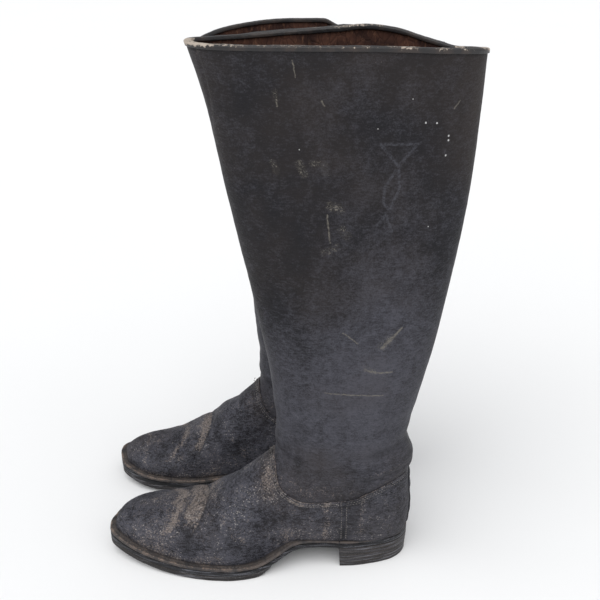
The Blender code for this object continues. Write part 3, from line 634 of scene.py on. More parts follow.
def segment_group():
    """A node group: 1 on a line between two places in the side view, falling to 0 at its width."""
    group = bpy.data.node_groups.new("scratch", "ShaderNodeTree")
    sockets = [(name, "INPUT", "NodeSocketVector") for name in ("At", "A", "B")]
    sockets += [("Width", "INPUT", "NodeSocketFloat"), ("Mark", "OUTPUT", "NodeSocketFloat")]
    for name, way, kind in sockets:
        group.interface.new_socket(name, in_out=way, socket_type=kind)
    n = Nodes(tree=group)
    source = n.new("NodeGroupInput").outputs
    offset = n.vector("SUBTRACT", source["At"], source["A"])
    along = n.vector("SUBTRACT", source["B"], source["A"])
    share = n.math("DIVIDE", n.vector("DOT_PRODUCT", offset, along), n.vector("DOT_PRODUCT", along, along))
    node = n.new("ShaderNodeVectorMath", operation="SCALE")
    nearest = n.fill(node, {0: along, "Scale": share.clamped()})
    distance = n.vector("LENGTH", n.vector("SUBTRACT", offset, nearest))
    width = Value(n, source["Width"])
    n.put(distance.ramp(width, width * 0.35), n.new("NodeGroupOutput").inputs["Mark"])
    return group


def scratches(n, marks, origin, wobble):
    """The strongest of several (a, b, width) marks in the side view, given in the boot's own frame."""
    group = bpy.data.node_groups.get("scratch") or segment_group()
    ripple = n.fill(n.new("ShaderNodeTexNoise"), {"Vector": n.at, "Scale": 350.0}, "Color")
    drift = n.vector("MULTIPLY", n.vector("SUBTRACT", ripple, (0.5, 0.5, 0.5)), (wobble, 0.0, wobble))
    place = n.vector("ADD", n.vector("MULTIPLY", n.at, (1.0, 0.0, 1.0)), drift)
    strongest = None
    for a, b, width in marks:
        ends = {"A": (a[0] + origin[0], 0, a[1]), "B": (b[0] + origin[0] + 0.00001, 0, b[1])}
        mark = n.fill(n.new("ShaderNodeGroup", node_tree=group), {"At": place, "Width": width} | ends)
        strongest = mark if strongest is None else n.math("MAXIMUM", strongest, mark)
    return strongest


# Marks on the left boot's outer wall, in its own frame: places in the side view, and widths
DOT_LENGTH = 0.0003
SMALL_DOT = 0.0005
BRIGHT_DOT = 0.0009
DOTS = (
    (-0.0071, 0.4343, BRIGHT_DOT), (0.0017, 0.4335, BRIGHT_DOT), (0.0119, 0.4228, BRIGHT_DOT),
    (0.0120, 0.4193, BRIGHT_DOT), (0.0106, 0.4072, BRIGHT_DOT), (-0.0440, 0.4307, SMALL_DOT),
    (-0.0183, 0.4531, SMALL_DOT), (0.0002, 0.3488, SMALL_DOT), (-0.1038, 0.4143, SMALL_DOT),
)
SCRATCHES = (
    ((-0.0334, 0.2416), (-0.0250, 0.2500), 0.0022), ((-0.0250, 0.2500), (-0.0168, 0.2590), 0.0015),
    ((-0.0465, 0.2211), (-0.0377, 0.2176), 0.0014), ((-0.0377, 0.2176), (-0.0236, 0.2170), 0.0011),
    ((-0.0815, 0.1983), (-0.0306, 0.1941), 0.0008), ((-0.0819, 0.3616), (-0.0791, 0.3378), 0.0009),
    ((-0.1092, 0.4829), (-0.1077, 0.4763), 0.0008), ((-0.1077, 0.4763), (-0.1064, 0.4700), 0.0006),
    ((-0.1213, 0.4526), (-0.1206, 0.4480), 0.0009), ((-0.0870, 0.4520), (-0.0850, 0.4490), 0.0010),
    ((0.0150, 0.4440), (0.0190, 0.4500), 0.0008), ((-0.0670, 0.2570), (-0.0541, 0.2465), 0.0008),
)
SCRIBBLES = (
    ((-0.1250, 0.4040), (-0.1215, 0.3960), 0.0035), ((-0.1040, 0.4030), (-0.1000, 0.3950), 0.0045),
    ((-0.0940, 0.4040), (-0.0880, 0.4030), 0.0035), ((-0.0850, 0.4035), (-0.0835, 0.3960), 0.0040),
    ((-0.0790, 0.3690), (-0.0710, 0.3660), 0.0050), ((-0.0690, 0.3490), (-0.0665, 0.3440), 0.0055),
    ((-0.0840, 0.3290), (-0.0740, 0.3340), 0.0040), ((-0.0334, 0.2430), (-0.0260, 0.2500), 0.0055),
    ((-0.0470, 0.2220), (-0.0400, 0.2190), 0.0035), ((-0.1225, 0.4590), (-0.1215, 0.4530), 0.0030),
)
# The pull strap's patch, pressed through from inside
IMPRINT_WIDTH = 0.0017
IMPRINT_LINES = (
    ((-0.0406, 0.4190), (-0.0123, 0.4180)), ((-0.0406, 0.4180), (-0.0269, 0.4013)),
    ((-0.0123, 0.4180), (-0.0269, 0.4013)), ((-0.0285, 0.3980), (-0.0372, 0.3834)),
    ((-0.0372, 0.3834), (-0.0374, 0.3710)), ((-0.0374, 0.3710), (-0.0333, 0.3668)),
    ((-0.0262, 0.3980), (-0.0253, 0.3816)), ((-0.0253, 0.3816), (-0.0320, 0.3668)),
    ((-0.0350, 0.3612), (-0.0420, 0.3530)), ((-0.0350, 0.3612), (-0.0297, 0.3468)),
)


BLACK = (0.0100, 0.0095, 0.0120)
SMOKE = (0.0680, 0.0680, 0.0830)
BROWN = (0.0330, 0.0250, 0.0215)
TAN = (0.230, 0.190, 0.165)
CREAM = (0.480, 0.410, 0.340)
INK_AND_SHADE = (0.006, 0.006, 0.007)
DUST = (0.310, 0.288, 0.275)


def worn_leather(name, cloudy, flecked, specks, grain, gloss, marks=None):
    """Black leather gone grey and brown. pale, brown, tan, dark and lined on the mesh say where; pale also
    carries painted highlights and dark painted shade.
    """
    n = Nodes(name)
    grainy = (1 + flecked) / 2
    pale, brown, tan, dark = (n.value_of(key) for key in ("pale", "brown", "tan", "dark"))
    broad = n.noise(11.0, 4.0, 0.62)
    patch = n.noise(45.0, 6.0, 0.68, distortion=0.6)
    mottle = n.noise(150.0, 5.0, 0.72)
    fibre = n.noise(380.0, 4.0, 0.72, (0.60, 0.60, 1.4))
    speck = n.noise(560.0, 4.0, 0.75)
    dust = n.noise(820.0, 3.0, 0.80)
    # pale holds the leather's greying and, on the leg, painted highlights
    paleness = pale + patch.spread(0.55 * cloudy) + mottle.spread(0.40 * cloudy)
    paleness = paleness + fibre.spread(0.85 * grainy) + dust.spread(0.90 * grainy)
    colour = n.mix(paleness.clamped(), BLACK, SMOKE)
    colour = n.mix(((brown + broad.spread(0.5)) * 0.75).clamped(), colour, BROWN)
    limit = 0.5 + 0.17 * (1.2 - specks) - tan * 0.17
    worn = (speck * 0.42 + mottle * 0.18 + dust * 0.40 - limit).ramp(-0.01, 0.08)
    colour = n.mix(worn * 0.70, colour, TAN)
    if flecked:
        chosen = n.cells(470.0, "F1").ramp(0.36, 0.20) * speck.ramp(0.46, 0.58)
        dusty = (tan * 0.6 + pale * 0.7 + patch.spread(1.2)).ramp(0.48, 1.10)
        colour = n.mix(chosen * dusty * flecked, colour, DUST)
    crackle = n.cells(290.0, stretch=(0.50, 0.50, 1.5))
    wrinkle = n.cells(85.0, stretch=(0.40, 0.40, 1.6))
    lined = (n.value_of("lined") + patch.ramp(0.52, 0.70, 0.0, 0.35)).clamped()
    lines = n.math("MAXIMUM", wrinkle.ramp(0.030, 0.0), crackle.ramp(0.06, 0.0) * 0.75) * lined
    colour = n.mix(lines * 0.70, colour, INK_AND_SHADE)
    # dark: painted shade in creases, seams and grooves, with darker patches of the leather itself
    colour = n.mix(dark * mottle.ramp(0.30, 0.55, 0.45, 0.95), colour, INK_AND_SHADE)
    height = crackle.ramp(0.0, 0.10) * 0.35 + wrinkle.ramp(0.0, 0.07) * lined
    height = height + speck * 0.90 + fibre * 0.90 + mottle * 1.30
    if marks:
        colour, height = marks(n, colour, height, speck)
    roughness = patch * 0.20 + worn * 0.15 + (gloss - 0.06)
    return n.finish(colour, roughness, height, grain, Specular_IOR_Level=0.18)


def old_marks(n, colour, height, speck):
    """Dots, scratches, scribbled scuffs and the strap's print on the left boot's outer wall."""
    origin = left.origin
    dots = scratches(n, [((x, z), (x, z + DOT_LENGTH), width) for x, z, width in DOTS], origin, 0.0006)
    lines = scratches(n, SCRATCHES, origin, 0.0020) * speck.ramp(0.38, 0.58, 0.25, 1.0)
    areas = scratches(n, SCRIBBLES, origin, 0.0030)
    wander = n.noise(125.0, 2.0, 0.50, distortion=2.5)
    thread_like = n.math("ABSOLUTE", wander - 0.5).ramp(0.030, 0.008)
    scribble = areas * thread_like * speck.ramp(0.42, 0.58)
    rubbed = n.math("MAXIMUM", lines * 0.65, scribble * 0.95)
    rubbed = n.math("MAXIMUM", rubbed, areas * 0.05)
    colour = n.mix(rubbed, colour, (0.180, 0.165, 0.140))
    colour = n.mix(dots, colour, (0.500, 0.500, 0.500))
    printed = scratches(n, [(a, b, IMPRINT_WIDTH) for a, b in IMPRINT_LINES], origin, 0.0014)
    colour = n.mix(printed * speck.ramp(0.38, 0.60, 0.02, 0.34), colour, (0.105, 0.108, 0.130))
    return colour, height - rubbed * 0.6


def thread(name, colour):
    """Waxed thread."""
    n = Nodes(name)
    twist = n.noise(2600.0, 3.0, 0.6)
    shade = n.mix(n.noise(160.0, 4.0).ramp(0.35, 0.65), colour, tuple(0.35 * c for c in colour))
    return n.finish(shade, twist * 0.3 + 0.45, twist, 0.00015)


def binding_leather(name):
    """Black edging, rubbed through to cream along its fold, most of all where 'cream' says."""
    n = Nodes(name)
    fine = n.noise(420.0, 5.0, 0.72)
    patch = n.noise(75.0, 4.0, 0.65)
    colour = n.mix(patch.ramp(0.40, 0.65), (0.010, 0.009, 0.010), (0.030, 0.021, 0.018))
    rubbed = (fine * 0.6 + patch * 0.4 - (0.72 - n.value_of("cream") * 0.33)).ramp(-0.01, 0.05)
    colour = n.mix(rubbed * 0.85, colour, CREAM)
    return n.finish(colour, rubbed * 0.25 + 0.42, fine - rubbed * 0.7, 0.00035)


def lining_leather(name):
    """Undyed lining gone red-brown, its flesh side fuzzy and crazed."""
    n = Nodes(name)
    patch = n.noise(34.0, 5.0, 0.65, distortion=0.8)
    hair = n.noise(300.0, 5.0, 0.75, (1.0, 1.0, 0.30))
    fine = n.noise(1200.0, 3.0, 0.7)
    cracks = n.cells(150.0, stretch=(1.0, 1.0, 0.45))
    colour = n.mix(patch.ramp(0.30, 0.70), (0.020, 0.009, 0.008), (0.082, 0.036, 0.024))
    colour = n.mix(hair.ramp(0.52, 0.68, 0.0, 0.60), colour, (0.200, 0.100, 0.060))
    colour = n.mix(cracks.ramp(0.05, 0.0, 0.0, 0.55), colour, (0.020, 0.009, 0.007))
    height = hair * 0.6 + fine * 0.4 + cracks.ramp(0.0, 0.08, 0.0, 0.4)
    return n.finish(colour, hair * 0.25 + 0.62, height, 0.00060, Specular_IOR_Level=0.15)


def tanned_board(name, dark=(0.16, 0.085, 0.045), pale=(0.36, 0.22, 0.125)):
    """Vegetable-tanned leather that was never dyed."""
    n = Nodes(name)
    fine = n.noise(700.0, 4.0, 0.7)
    colour = n.mix(n.noise(30.0, 5.0, 0.65).ramp(0.32, 0.68), dark, pale)
    colour = n.mix(fine.ramp(0.55, 0.70, 0.0, 0.35), colour, tuple(0.5 * c for c in dark))
    return n.finish(colour, fine * 0.2 + 0.58, fine, 0.00025)


def cork_grain(name):
    """Ground cork and glue, the filler between insole and outsole."""
    n = Nodes(name)
    grains = n.cells(420.0, "F1")
    shade = n.noise(130.0, 4.0, 0.6)
    colour = n.mix(grains.ramp(0.25, 0.75), (0.33, 0.20, 0.10), (0.12, 0.065, 0.033))
    colour = n.mix(shade * 0.5, colour, (0.42, 0.28, 0.15))
    return n.finish(colour, 0.85, grains + shade, 0.0004)


def spring_steel(name):
    """The shank: brushed lengthwise, rusted in places."""
    n = Nodes(name)
    brushed = n.noise(500.0, 3.0, 0.6, (0.06, 1.0, 1.0))
    rust = n.noise(120.0, 5.0, 0.7).ramp(0.55, 0.70, 0.0, 0.6)
    colour = n.mix(rust, (0.42, 0.42, 0.43), (0.16, 0.07, 0.035))
    return n.finish(colour, brushed * 0.25 + 0.28, brushed, 0.00005, Metallic=0.9)


def welt_leather(name):
    """The welt: black wax worn down to tan on its top and edge."""
    n = Nodes(name)
    fine = n.noise(700.0, 4.0, 0.72)
    patch = n.noise(110.0, 5.0, 0.7)
    colour = n.mix(patch.ramp(0.35, 0.62), (0.018, 0.016, 0.017), (0.070, 0.055, 0.048))
    rubbed = (fine * 0.55 + patch * 0.45 - (0.60 - n.value_of("tan") * 0.16)).ramp(-0.01, 0.06)
    colour = n.mix(rubbed * 0.62, colour, (0.205, 0.150, 0.115))
    # Painted shade where 'dark' says: in the stitch channel and in the groove against the upper
    colour = n.mix(n.value_of("dark"), colour, (0.014, 0.012, 0.013))
    return n.finish(colour, fine * 0.2 + 0.52, fine, 0.00035)


def stacked_leather(name, tint):
    """Sole and heel leather, seen from its edge: thin lying layers under black wax."""
    n = Nodes(name)
    layers = n.noise(300.0, 4.0, 0.65, (0.10, 0.10, 2.6))
    patch = n.noise(85.0, 5.0, 0.68, (0.6, 0.6, 1.2))
    fine = n.noise(1000.0, 3.0, 0.7)
    dark = tuple(tint * c for c in (0.028, 0.028, 0.033))
    pale = tuple(tint * c for c in (0.082, 0.082, 0.095))
    colour = n.mix((patch * 0.65 + layers * 0.35).ramp(0.38, 0.62), dark, pale)
    lines = layers * 0.8 + fine * 0.2
    colour = n.mix(lines.ramp(0.46, 0.42, 0.0, 0.85), colour, INK_AND_SHADE)
    colour = n.mix(lines.ramp(0.54, 0.58, 0.0, 0.60), colour, (0.150, 0.152, 0.172))
    colour = n.mix(n.value_of("tan") * fine.ramp(0.42, 0.60, 0.2, 0.8), colour, (0.2, 0.165, 0.14))
    return n.finish(colour, patch * 0.25 + 0.38, layers + fine * 0.5, 0.00030, Specular_IOR_Level=0.25)


def webbing(name, along, down):
    """Woven cotton tape: threads along it and across it, over and under by turns."""
    n = Nodes(name)
    turns = 2 * math.pi / THREAD_PITCH
    ribs, picks = (n.math("SINE", n.vector("DOT_PRODUCT", n.at, tuple(way)) * turns) for way in (along, down))
    weave = ribs * picks
    grime = n.noise(60.0, 5.0, 0.65).ramp(0.45, 0.70, 0.0, 0.65)
    colour = n.mix(weave.ramp(-0.6, 0.8), (0.075, 0.050, 0.032), (0.230, 0.170, 0.115))
    colour = n.mix(grime, colour, (0.045, 0.032, 0.024))
    return n.finish(colour, 0.88, weave + n.noise(2200.0, 3.0, 0.7) * 0.6, 0.00025)


# Leg


FOLDS = (
    # Ends in the side view, height and width; below 0 is a valley
    ((-0.0680, 0.1010), (0.0040, 0.1180), 0.0015, 0.0045),
    ((-0.0560, 0.0880), (0.0010, 0.1060), 0.0011, 0.0040),
    ((-0.0620, 0.0950), (0.0020, 0.1120), -0.0009, 0.0030),
    ((-0.0500, 0.1260), (0.0000, 0.1370), -0.0014, 0.0055),
    ((-0.0420, 0.1430), (0.0030, 0.1520), 0.0010, 0.0060),
    ((-0.1300, 0.1340), (-0.0900, 0.1230), 0.0012, 0.0050),
    ((-0.1290, 0.1260), (-0.0950, 0.1140), -0.0010, 0.0035),
    ((-0.1310, 0.1560), (-0.0980, 0.1480), -0.0009, 0.0060),
    ((-0.1300, 0.1750), (-0.1050, 0.1650), 0.0008, 0.0070),
)


def folded(x, z):
    """How far the folds over the ankle stand out."""
    lift = 0
    for a, b, height, width in FOLDS:
        away, share = to_segment(x, z, a, b)
        along = 0.35 + 0.65 * np.sin(np.pi * np.clip(share, 0.05, 0.95))
        lift = lift + height * bell(away, 0, width) * along
    return lift


def leg_relief(boot, points):
    """How far the leg's leather stands out from the plain surface."""
    x, z = points[..., 0], points[..., 2]
    places = boot.varied(points)
    lift = 0.0011 * fractal(places, (0.050, 0.050, 0.110), 2, 3)
    lift += 0.00030 * fractal(places, (0.016, 0.016, 0.012), 3, 11)
    lift += smoothstep(0.30, 0.10, z) * 0.00055 * fractal(places, (0.030, 0.030, 0.009), 2, 17)
    lift += folded(x, z)
    pressed = 0
    for a, b in IMPRINT_LINES:
        away, _ = to_segment(x, z, a, b)
        pressed = np.maximum(pressed, bell(away, 0, 0.0016))
    lift += 0.00045 * pressed
    strip = front_edge(z) + 0.0085 * smoothstep(0.400, 0.480, z)
    lift -= 0.0006 * bell(x, strip, 0.0013) * smoothstep(0.405, 0.440, z)
    return lift * smoothstep(0.0, 0.012, 0.4985 - z)


def dip_under_seam(above):
    """How deep the leg lies where the vamp and counter lie over it, by the height above their edge."""
    return np.where(
        above > 0,
        (SKIVE + 0.00015) * fading(0, 0.009, above),
        SKIVE + 0.00015 + 0.0010 * smoothstep(0, TUCK, -above),
    )


def leg_heights(angles, side, right, rows):
    """Rows of heights from under the vamp up to the rim, closer together at the seam."""
    seam = seam_height(angles)
    top = rim_height(angles, side, right) - 2 * GAP - BINDING
    near = np.linspace(-TUCK, FINE_ROWS_HEIGHT, 15)[:, None] + seam
    t = np.linspace(0, 1, rows - 14)[1:, None]
    return np.concatenate([near, near[-1] * (1 - t) + top * t])


def leg_colours(boot, points, side):
    """Paler towards the ankle, browner towards the rim, and rubbed tan in front and above the seam. Painted
    highlights on the middle of the leg, painted shade at its front, in its fold valleys, along the seam and
    under the binding.
    """
    x, z = points[..., 0], points[..., 2]
    places = boot.varied(points)
    cloud = fractal(places, 0.045, 3, 23)
    streak = fractal(places, (0.010, 0.010, 0.060), 2, 29)
    above = z - np.where(x < THROAT, seam_height(0), seam_at(x))
    back = smoothstep(-0.030, 0.040, x)
    front = smoothstep(0.030, 0.0, x - front_edge(z))
    folds = folded(x, z)
    pale = 0.09 + 0.51 * smoothstep(0.38, 0.15, z) + 0.22 * cloud + 0.12 * streak
    low = smoothstep(0.190, 0.120, z)
    blotch = 0.12 * fractal(places, (0.0050, 0.0050, 0.040), 2, 37) + 0.16 * fractal(places, 0.014, 2, 38)
    pale += low * (blotch - 0.08)
    # Painted highlights: a paler pool low over the ankle and a broad one on the middle of the leg; then
    # painted shade towards the leg's front
    pale += 0.28 * bell(z, 0.190, 0.045) * bell(x, -0.045, 0.030)
    pale += 0.34 * bell(z, 0.300, 0.07) * bell(x, -0.040, 0.035)
    pale -= 0.22 * bell(z, 0.33, 0.10) * bell(x, -0.125, 0.030)
    brown = 0.20 + 0.45 * smoothstep(0.34, 0.48, z) * (0.30 + back) + 0.18 * cloud
    brown += 0.40 * smoothstep(0.165, 0.125, z) - 0.36 * smoothstep(0.32, 0.17, z)
    tan = 0.05 + 0.30 * front * smoothstep(0.10, 0.30, z) + 0.38 * smoothstep(0.055, 0.0, above) * (1 - back)
    tan += 0.30 * bell(above, 0.014, 0.014) * bell(x, -0.085, 0.035)
    tan += 0.25 * smoothstep(0.470, 0.492, z) + 0.20 * cloud + 0.35 * smoothstep(0.0006, 0.0016, folds)
    # Painted shade: a dark line on the leg along the top edge of vamp and counter, and darker fold valleys
    dark = 0.45 * bell(above, 0.0, 0.0018) + 0.35 * smoothstep(-0.0004, -0.0012, folds)
    # Painted shadow: a dark line just under the binding's lower edge
    rim = rim_height(angle_at(x, z), side, boot.mirrored)
    dark = dark + 0.75 * bell(z, rim - BINDING_DEPTH - 0.0006, 0.0011)
    pressed, _ = to_segment(x, z, (-0.0265, 0.4165), (-0.0268, 0.4090))
    dark = dark + 0.38 * bell(pressed, 0, 0.0055) + 0.30 * bell(z, 0.4215, 0.0022) * bell(x, -0.020, 0.010)
    lined = 0.85 * bell(z, 0.294, 0.065) * bell(x, -0.122, 0.038) + 0.55 * smoothstep(0.15, 0.11, z)
    lined = lined + 0.35 * bell(z, 0.40, 0.03) * bell(x, -0.06, 0.03)
    return look_amounts(pale=pale, brown=brown, tan=tan, dark=dark, lined=lined)


def leg_panel(boot, place, side, surface):
    """One half of the leg, from the seam in front to the seam behind."""
    columns, rows, step = 121, 217, 4
    angles = np.linspace(0, 180, columns)
    z = leg_heights(angles, side, boot.mirrored, rows)
    points, normals = on_upper(x_at_angle(angles, z), z, side)
    depth = dip_under_seam(z - seam_height(angles)) - leg_relief(boot, points)
    ends = 0.00045 * (bell(angles, 0, 0.8) + bell(angles, 180, 0.8))
    outer = points - normals * (depth + ends)[..., None]
    inner = points - normals * (depth + LEATHER)[..., None]
    for layer in (outer, inner):
        layer[..., 1] = side * np.maximum(side * layer[..., 1], GAP / 4)
    values = leg_colours(boot, points, side)
    # Painted shade in the front and back seams, where the two halves meet
    values["dark"] = np.clip(values["dark"] + 0.8 * (bell(angles, 0, 0.7) + bell(angles, 180, 0.7)), 0, 1)
    mesh, faces = thick_fine(outer, inner, step)
    values = fine_values(values, step)
    add_piece(boot, f"leg_{place}", mesh, faces, surface, [f"leg_{place}_panel"], values)


def ring_of(angles, heights):
    """Rows of places all the way round the leg: outer side from front to back, then inner side back again."""
    parts = []
    for side, order in ((-1, slice(None, -1)), (1, slice(None, 0, -1))):
        z = heights(side)
        points, normals = on_upper(x_at_angle(angles, z), z, side)
        parts.append((points[:, order], normals[:, order]))
    return tuple(np.concatenate([p[k] for p in parts], axis=1) for k in (0, 1))


def leg_lining(boot, surface):
    """The lining, puckered, and smoothed thinner beside the straps, which lie against it."""
    angles = np.linspace(0, 180, 91)
    points, normals = ring_of(angles, lambda side: leg_heights(angles, side, boot.mirrored, 131))
    x, z = points[..., 0], points[..., 2]
    seam = np.concatenate([seam_height(angles)[:-1], seam_height(angles)[:0:-1]])
    depth = dip_under_seam(z - seam) - leg_relief(boot, points) + LEATHER + GAP
    places = boot.varied(points)
    pucker = 0.00045 * fractal(places, (0.020, 0.020, 0.035), 3, 41) * smoothstep(0.495, 0.470, z)
    outer = points - normals * depth[..., None]
    beside_strap = bell(x, STRAP_X, 0.030) * smoothstep(0.400, 0.430, z)
    thinned = (pucker - 0.0002) * (1 - beside_strap) + 0.0006 * beside_strap
    inner = points - normals * (depth + LINING - thinned)[..., None]
    mesh, faces = thick_grid(outer, inner, closed=True)
    add_piece(boot, "lining", mesh, faces, surface, ["leg_lining"])


def binding_profile():
    """(depth, drop) round the edging's section, from the bottom of its outside, over the rim and back."""
    out = -GAP - BINDING + 0.0004
    far = LEATHER + LINING + 4 * GAP + BINDING - 0.0002
    corner = 0.0013
    turn = np.linspace(0, math.pi / 2, 5)
    over = [(out + corner * (1 - math.cos(t)), corner * (1 - math.sin(t))) for t in turn]
    back = [(far - corner * (1 - math.cos(t)), corner * (1 - math.sin(t))) for t in turn[::-1]]
    drop = BINDING_DEPTH
    down = [(out + 0.0004, drop), (out + 0.0001, drop - 0.0002), (out, drop - 0.0006), (out, 0.0022)]
    up = [(far, 0.0022), (far, drop - 0.0006), (far - 0.0001, drop - 0.0002), (far - 0.0004, drop)]
    under = [
        (far - 0.0009, drop), (far - 0.0009, BINDING + GAP / 2),
        (out + 0.0007, BINDING + GAP / 2), (out + 0.0007, drop),
    ]
    return down + over + back + up + under


def rim_ring(boot, angles, depth, drop):
    """Places all the way round the rim, this deep in its wall and this far down."""

    def heights(side):
        return (rim_height(angles, side, boot.mirrored) - drop)[None]

    points, normals = ring_of(angles, heights)
    return points[0] - normals[0] * depth


def top_binding(boot, surface):
    angles = np.linspace(0, 180, 181)
    loops = []
    cream = []
    for depth, drop in binding_profile():
        line = rim_ring(boot, angles, depth, drop)
        places = line + boot.seed
        wave = 0.00030 * fractal(places, 0.012, 2, 51) + 0.00012 * noise(places, 0.003, 53)
        line[:, 2] += wave * np.clip(1.2 - drop / BINDING_DEPTH, 0, 1)
        loops.append(line)
        around = np.concatenate([angles[:-1], angles[:0:-1]])
        outer_side = np.arange(len(around)) < len(angles) - 1
        worn = np.full(len(around), 0.10)
        if not boot.mirrored:
            worn += np.where(outer_side, 0.32, 0.55 * bell(around, 97, 16) + 0.50 * bell(around, 150, 9))
        on_fold = math.exp(-((drop / 0.0024) ** 2))
        near_end = bell(around, 0, np.where(outer_side, 30.0, 15.0)) + bell(around, 180, 13.0)
        near_end = 1.1 * near_end * (0.3 if boot.mirrored else 1.0)
        near_end = near_end * math.exp(-((drop / 0.0032) ** 2))
        cream.append(np.clip(worn * on_fold + near_end + 0.12, 0, 1))
    loops.append(loops[0])
    cream.append(cream[0])
    faces = grid_faces(len(loops), len(loops[0]), closed=True)
    points, values = np.concatenate(loops), {"cream": np.concatenate(cream)}
    add_piece(boot, "binding", points, faces, surface, ["top_binding"], values)


# Stitches


def along_line(line, normals, spacing):
    """Evenly spaced places on a line of points: middles, directions and normals."""
    lengths = np.concatenate([[0], np.cumsum(np.linalg.norm(np.diff(line, axis=0), axis=1))])
    at = np.arange(0.5 * spacing, lengths[-1] - 0.3 * spacing, spacing)

    def read(values, where):
        return np.stack([np.interp(where, lengths, values[:, k]) for k in range(3)], axis=1)

    ahead = read(line, at + 0.2 * spacing) - read(line, at - 0.2 * spacing)
    ahead /= np.linalg.norm(ahead, axis=1)[:, None]
    up = read(normals, at)
    up -= ahead * np.sum(up * ahead, axis=1)[:, None]
    up /= np.linalg.norm(up, axis=1)[:, None]
    return read(line, at), ahead, up


def stitches(boot, name, runs, surface, length, spacing, radius, sunk):
    """Rows of stitches, each a small spindle of thread with its ends in the leather."""
    shares = (-1.0, -0.86, -0.5, 0.0, 0.5, 0.86, 1.0)
    sides = 6
    turns = 2 * math.pi * np.arange(sides)[:, None] / sides
    spindle = tube_faces(len(shares), sides)
    points = []
    faces = []
    for line, normals in runs:
        for middle, ahead, up in zip(*along_line(line, normals, spacing)):
            round_it = np.cos(turns) * np.cross(ahead, up) + np.sin(turns) * up
            faces += [[len(points) * sides + corner for corner in face] for face in spindle]
            for share in shares:
                bent = abs(share) ** 3
                centre = middle + ahead * (share * length / 2) + up * (radius * 0.35 - sunk - 0.0004 * bent)
                points.append(centre + radius * math.sqrt(max(1 - bent, 0.05)) * round_it)
    add_piece(boot, name, np.concatenate(points), faces, surface, (), sharp=80)


# Foot


def skived(depth_below):
    """Thickness of vamp and counter leather, by the distance below their top edge."""
    return SKIVE + (LEATHER - SKIVE) * smoothstep(0, SKIVE_WIDTH, depth_below)


def crease_places(boot, x, down):
    """Distances from the two creases over the ball of the foot, by the share of the way down the side."""
    shift = 0.005 if boot.mirrored else 0.0
    main = -0.193 + shift - 0.036 * np.clip(down, 0, 0.6)
    second = -0.193 + shift + 0.037 * down
    return x - main, x - second


def way_down(x, z):
    """The share of the way from the line of the instep down to the welt."""
    top = instep_height(x)
    return np.clip((top - z) / np.maximum(top - feather(x), 0.001), 0, 1)


def foot_relief(boot, points):
    """How far the foot's leather stands out from the plain surface."""
    x, z = points[..., 0], points[..., 2]
    down = way_down(x, z)
    places = boot.varied(points)
    lift = 0.0008 * fractal(places, 0.040, 2, 61) + 0.00028 * fractal(places, 0.011, 3, 67)
    main, second = crease_places(boot, x + 0.002 * noise(places, 0.02, 71), down)
    front = smoothstep(-0.120, -0.150, x)
    upper = 1 - smoothstep(0.40, 0.75, down)
    lift -= 0.0012 * bell(main, 0.0006, 0.0034) * fading(0.30, 0.60, down) * front
    lift += 0.0012 * bell(main, -0.0105, 0.0080) * upper * front
    at_side = smoothstep(0.10, 0.30, down) * fading(0.75, 0.95, down)
    lift -= 0.0011 * bell(second, 0, 0.0036) * at_side * front
    lift += 0.0013 * bell(second, 0.0130, 0.0095) * fading(0.60, 0.90, down) * front
    lift -= 0.0007 * bell(main, -0.0300, 0.0040) * fading(0.25, 0.55, down) * front
    lift -= 0.0006 * bell(second, 0.0300, 0.0040) * fading(0.30, 0.60, down) * front
    ripple = fractal(places, (0.0050, 0.03, 0.012), 2, 73)
    lift += 0.00045 * ripple * bell(x, -0.190, 0.030) * upper
    lift += 0.0007 * fractal(places, (0.020, 0.020, 0.007), 2, 79) * smoothstep(-0.080, -0.040, x)
    lift *= smoothstep(0.0, 0.006, z - feather(x))
    edge = below_seam(x, z)
    lift -= 0.00035 * smoothstep(0.0009, 0.0, edge)
    for row in SEAM_ROWS:
        lift -= 0.00022 * bell(edge, row, 0.0006)
    return lift


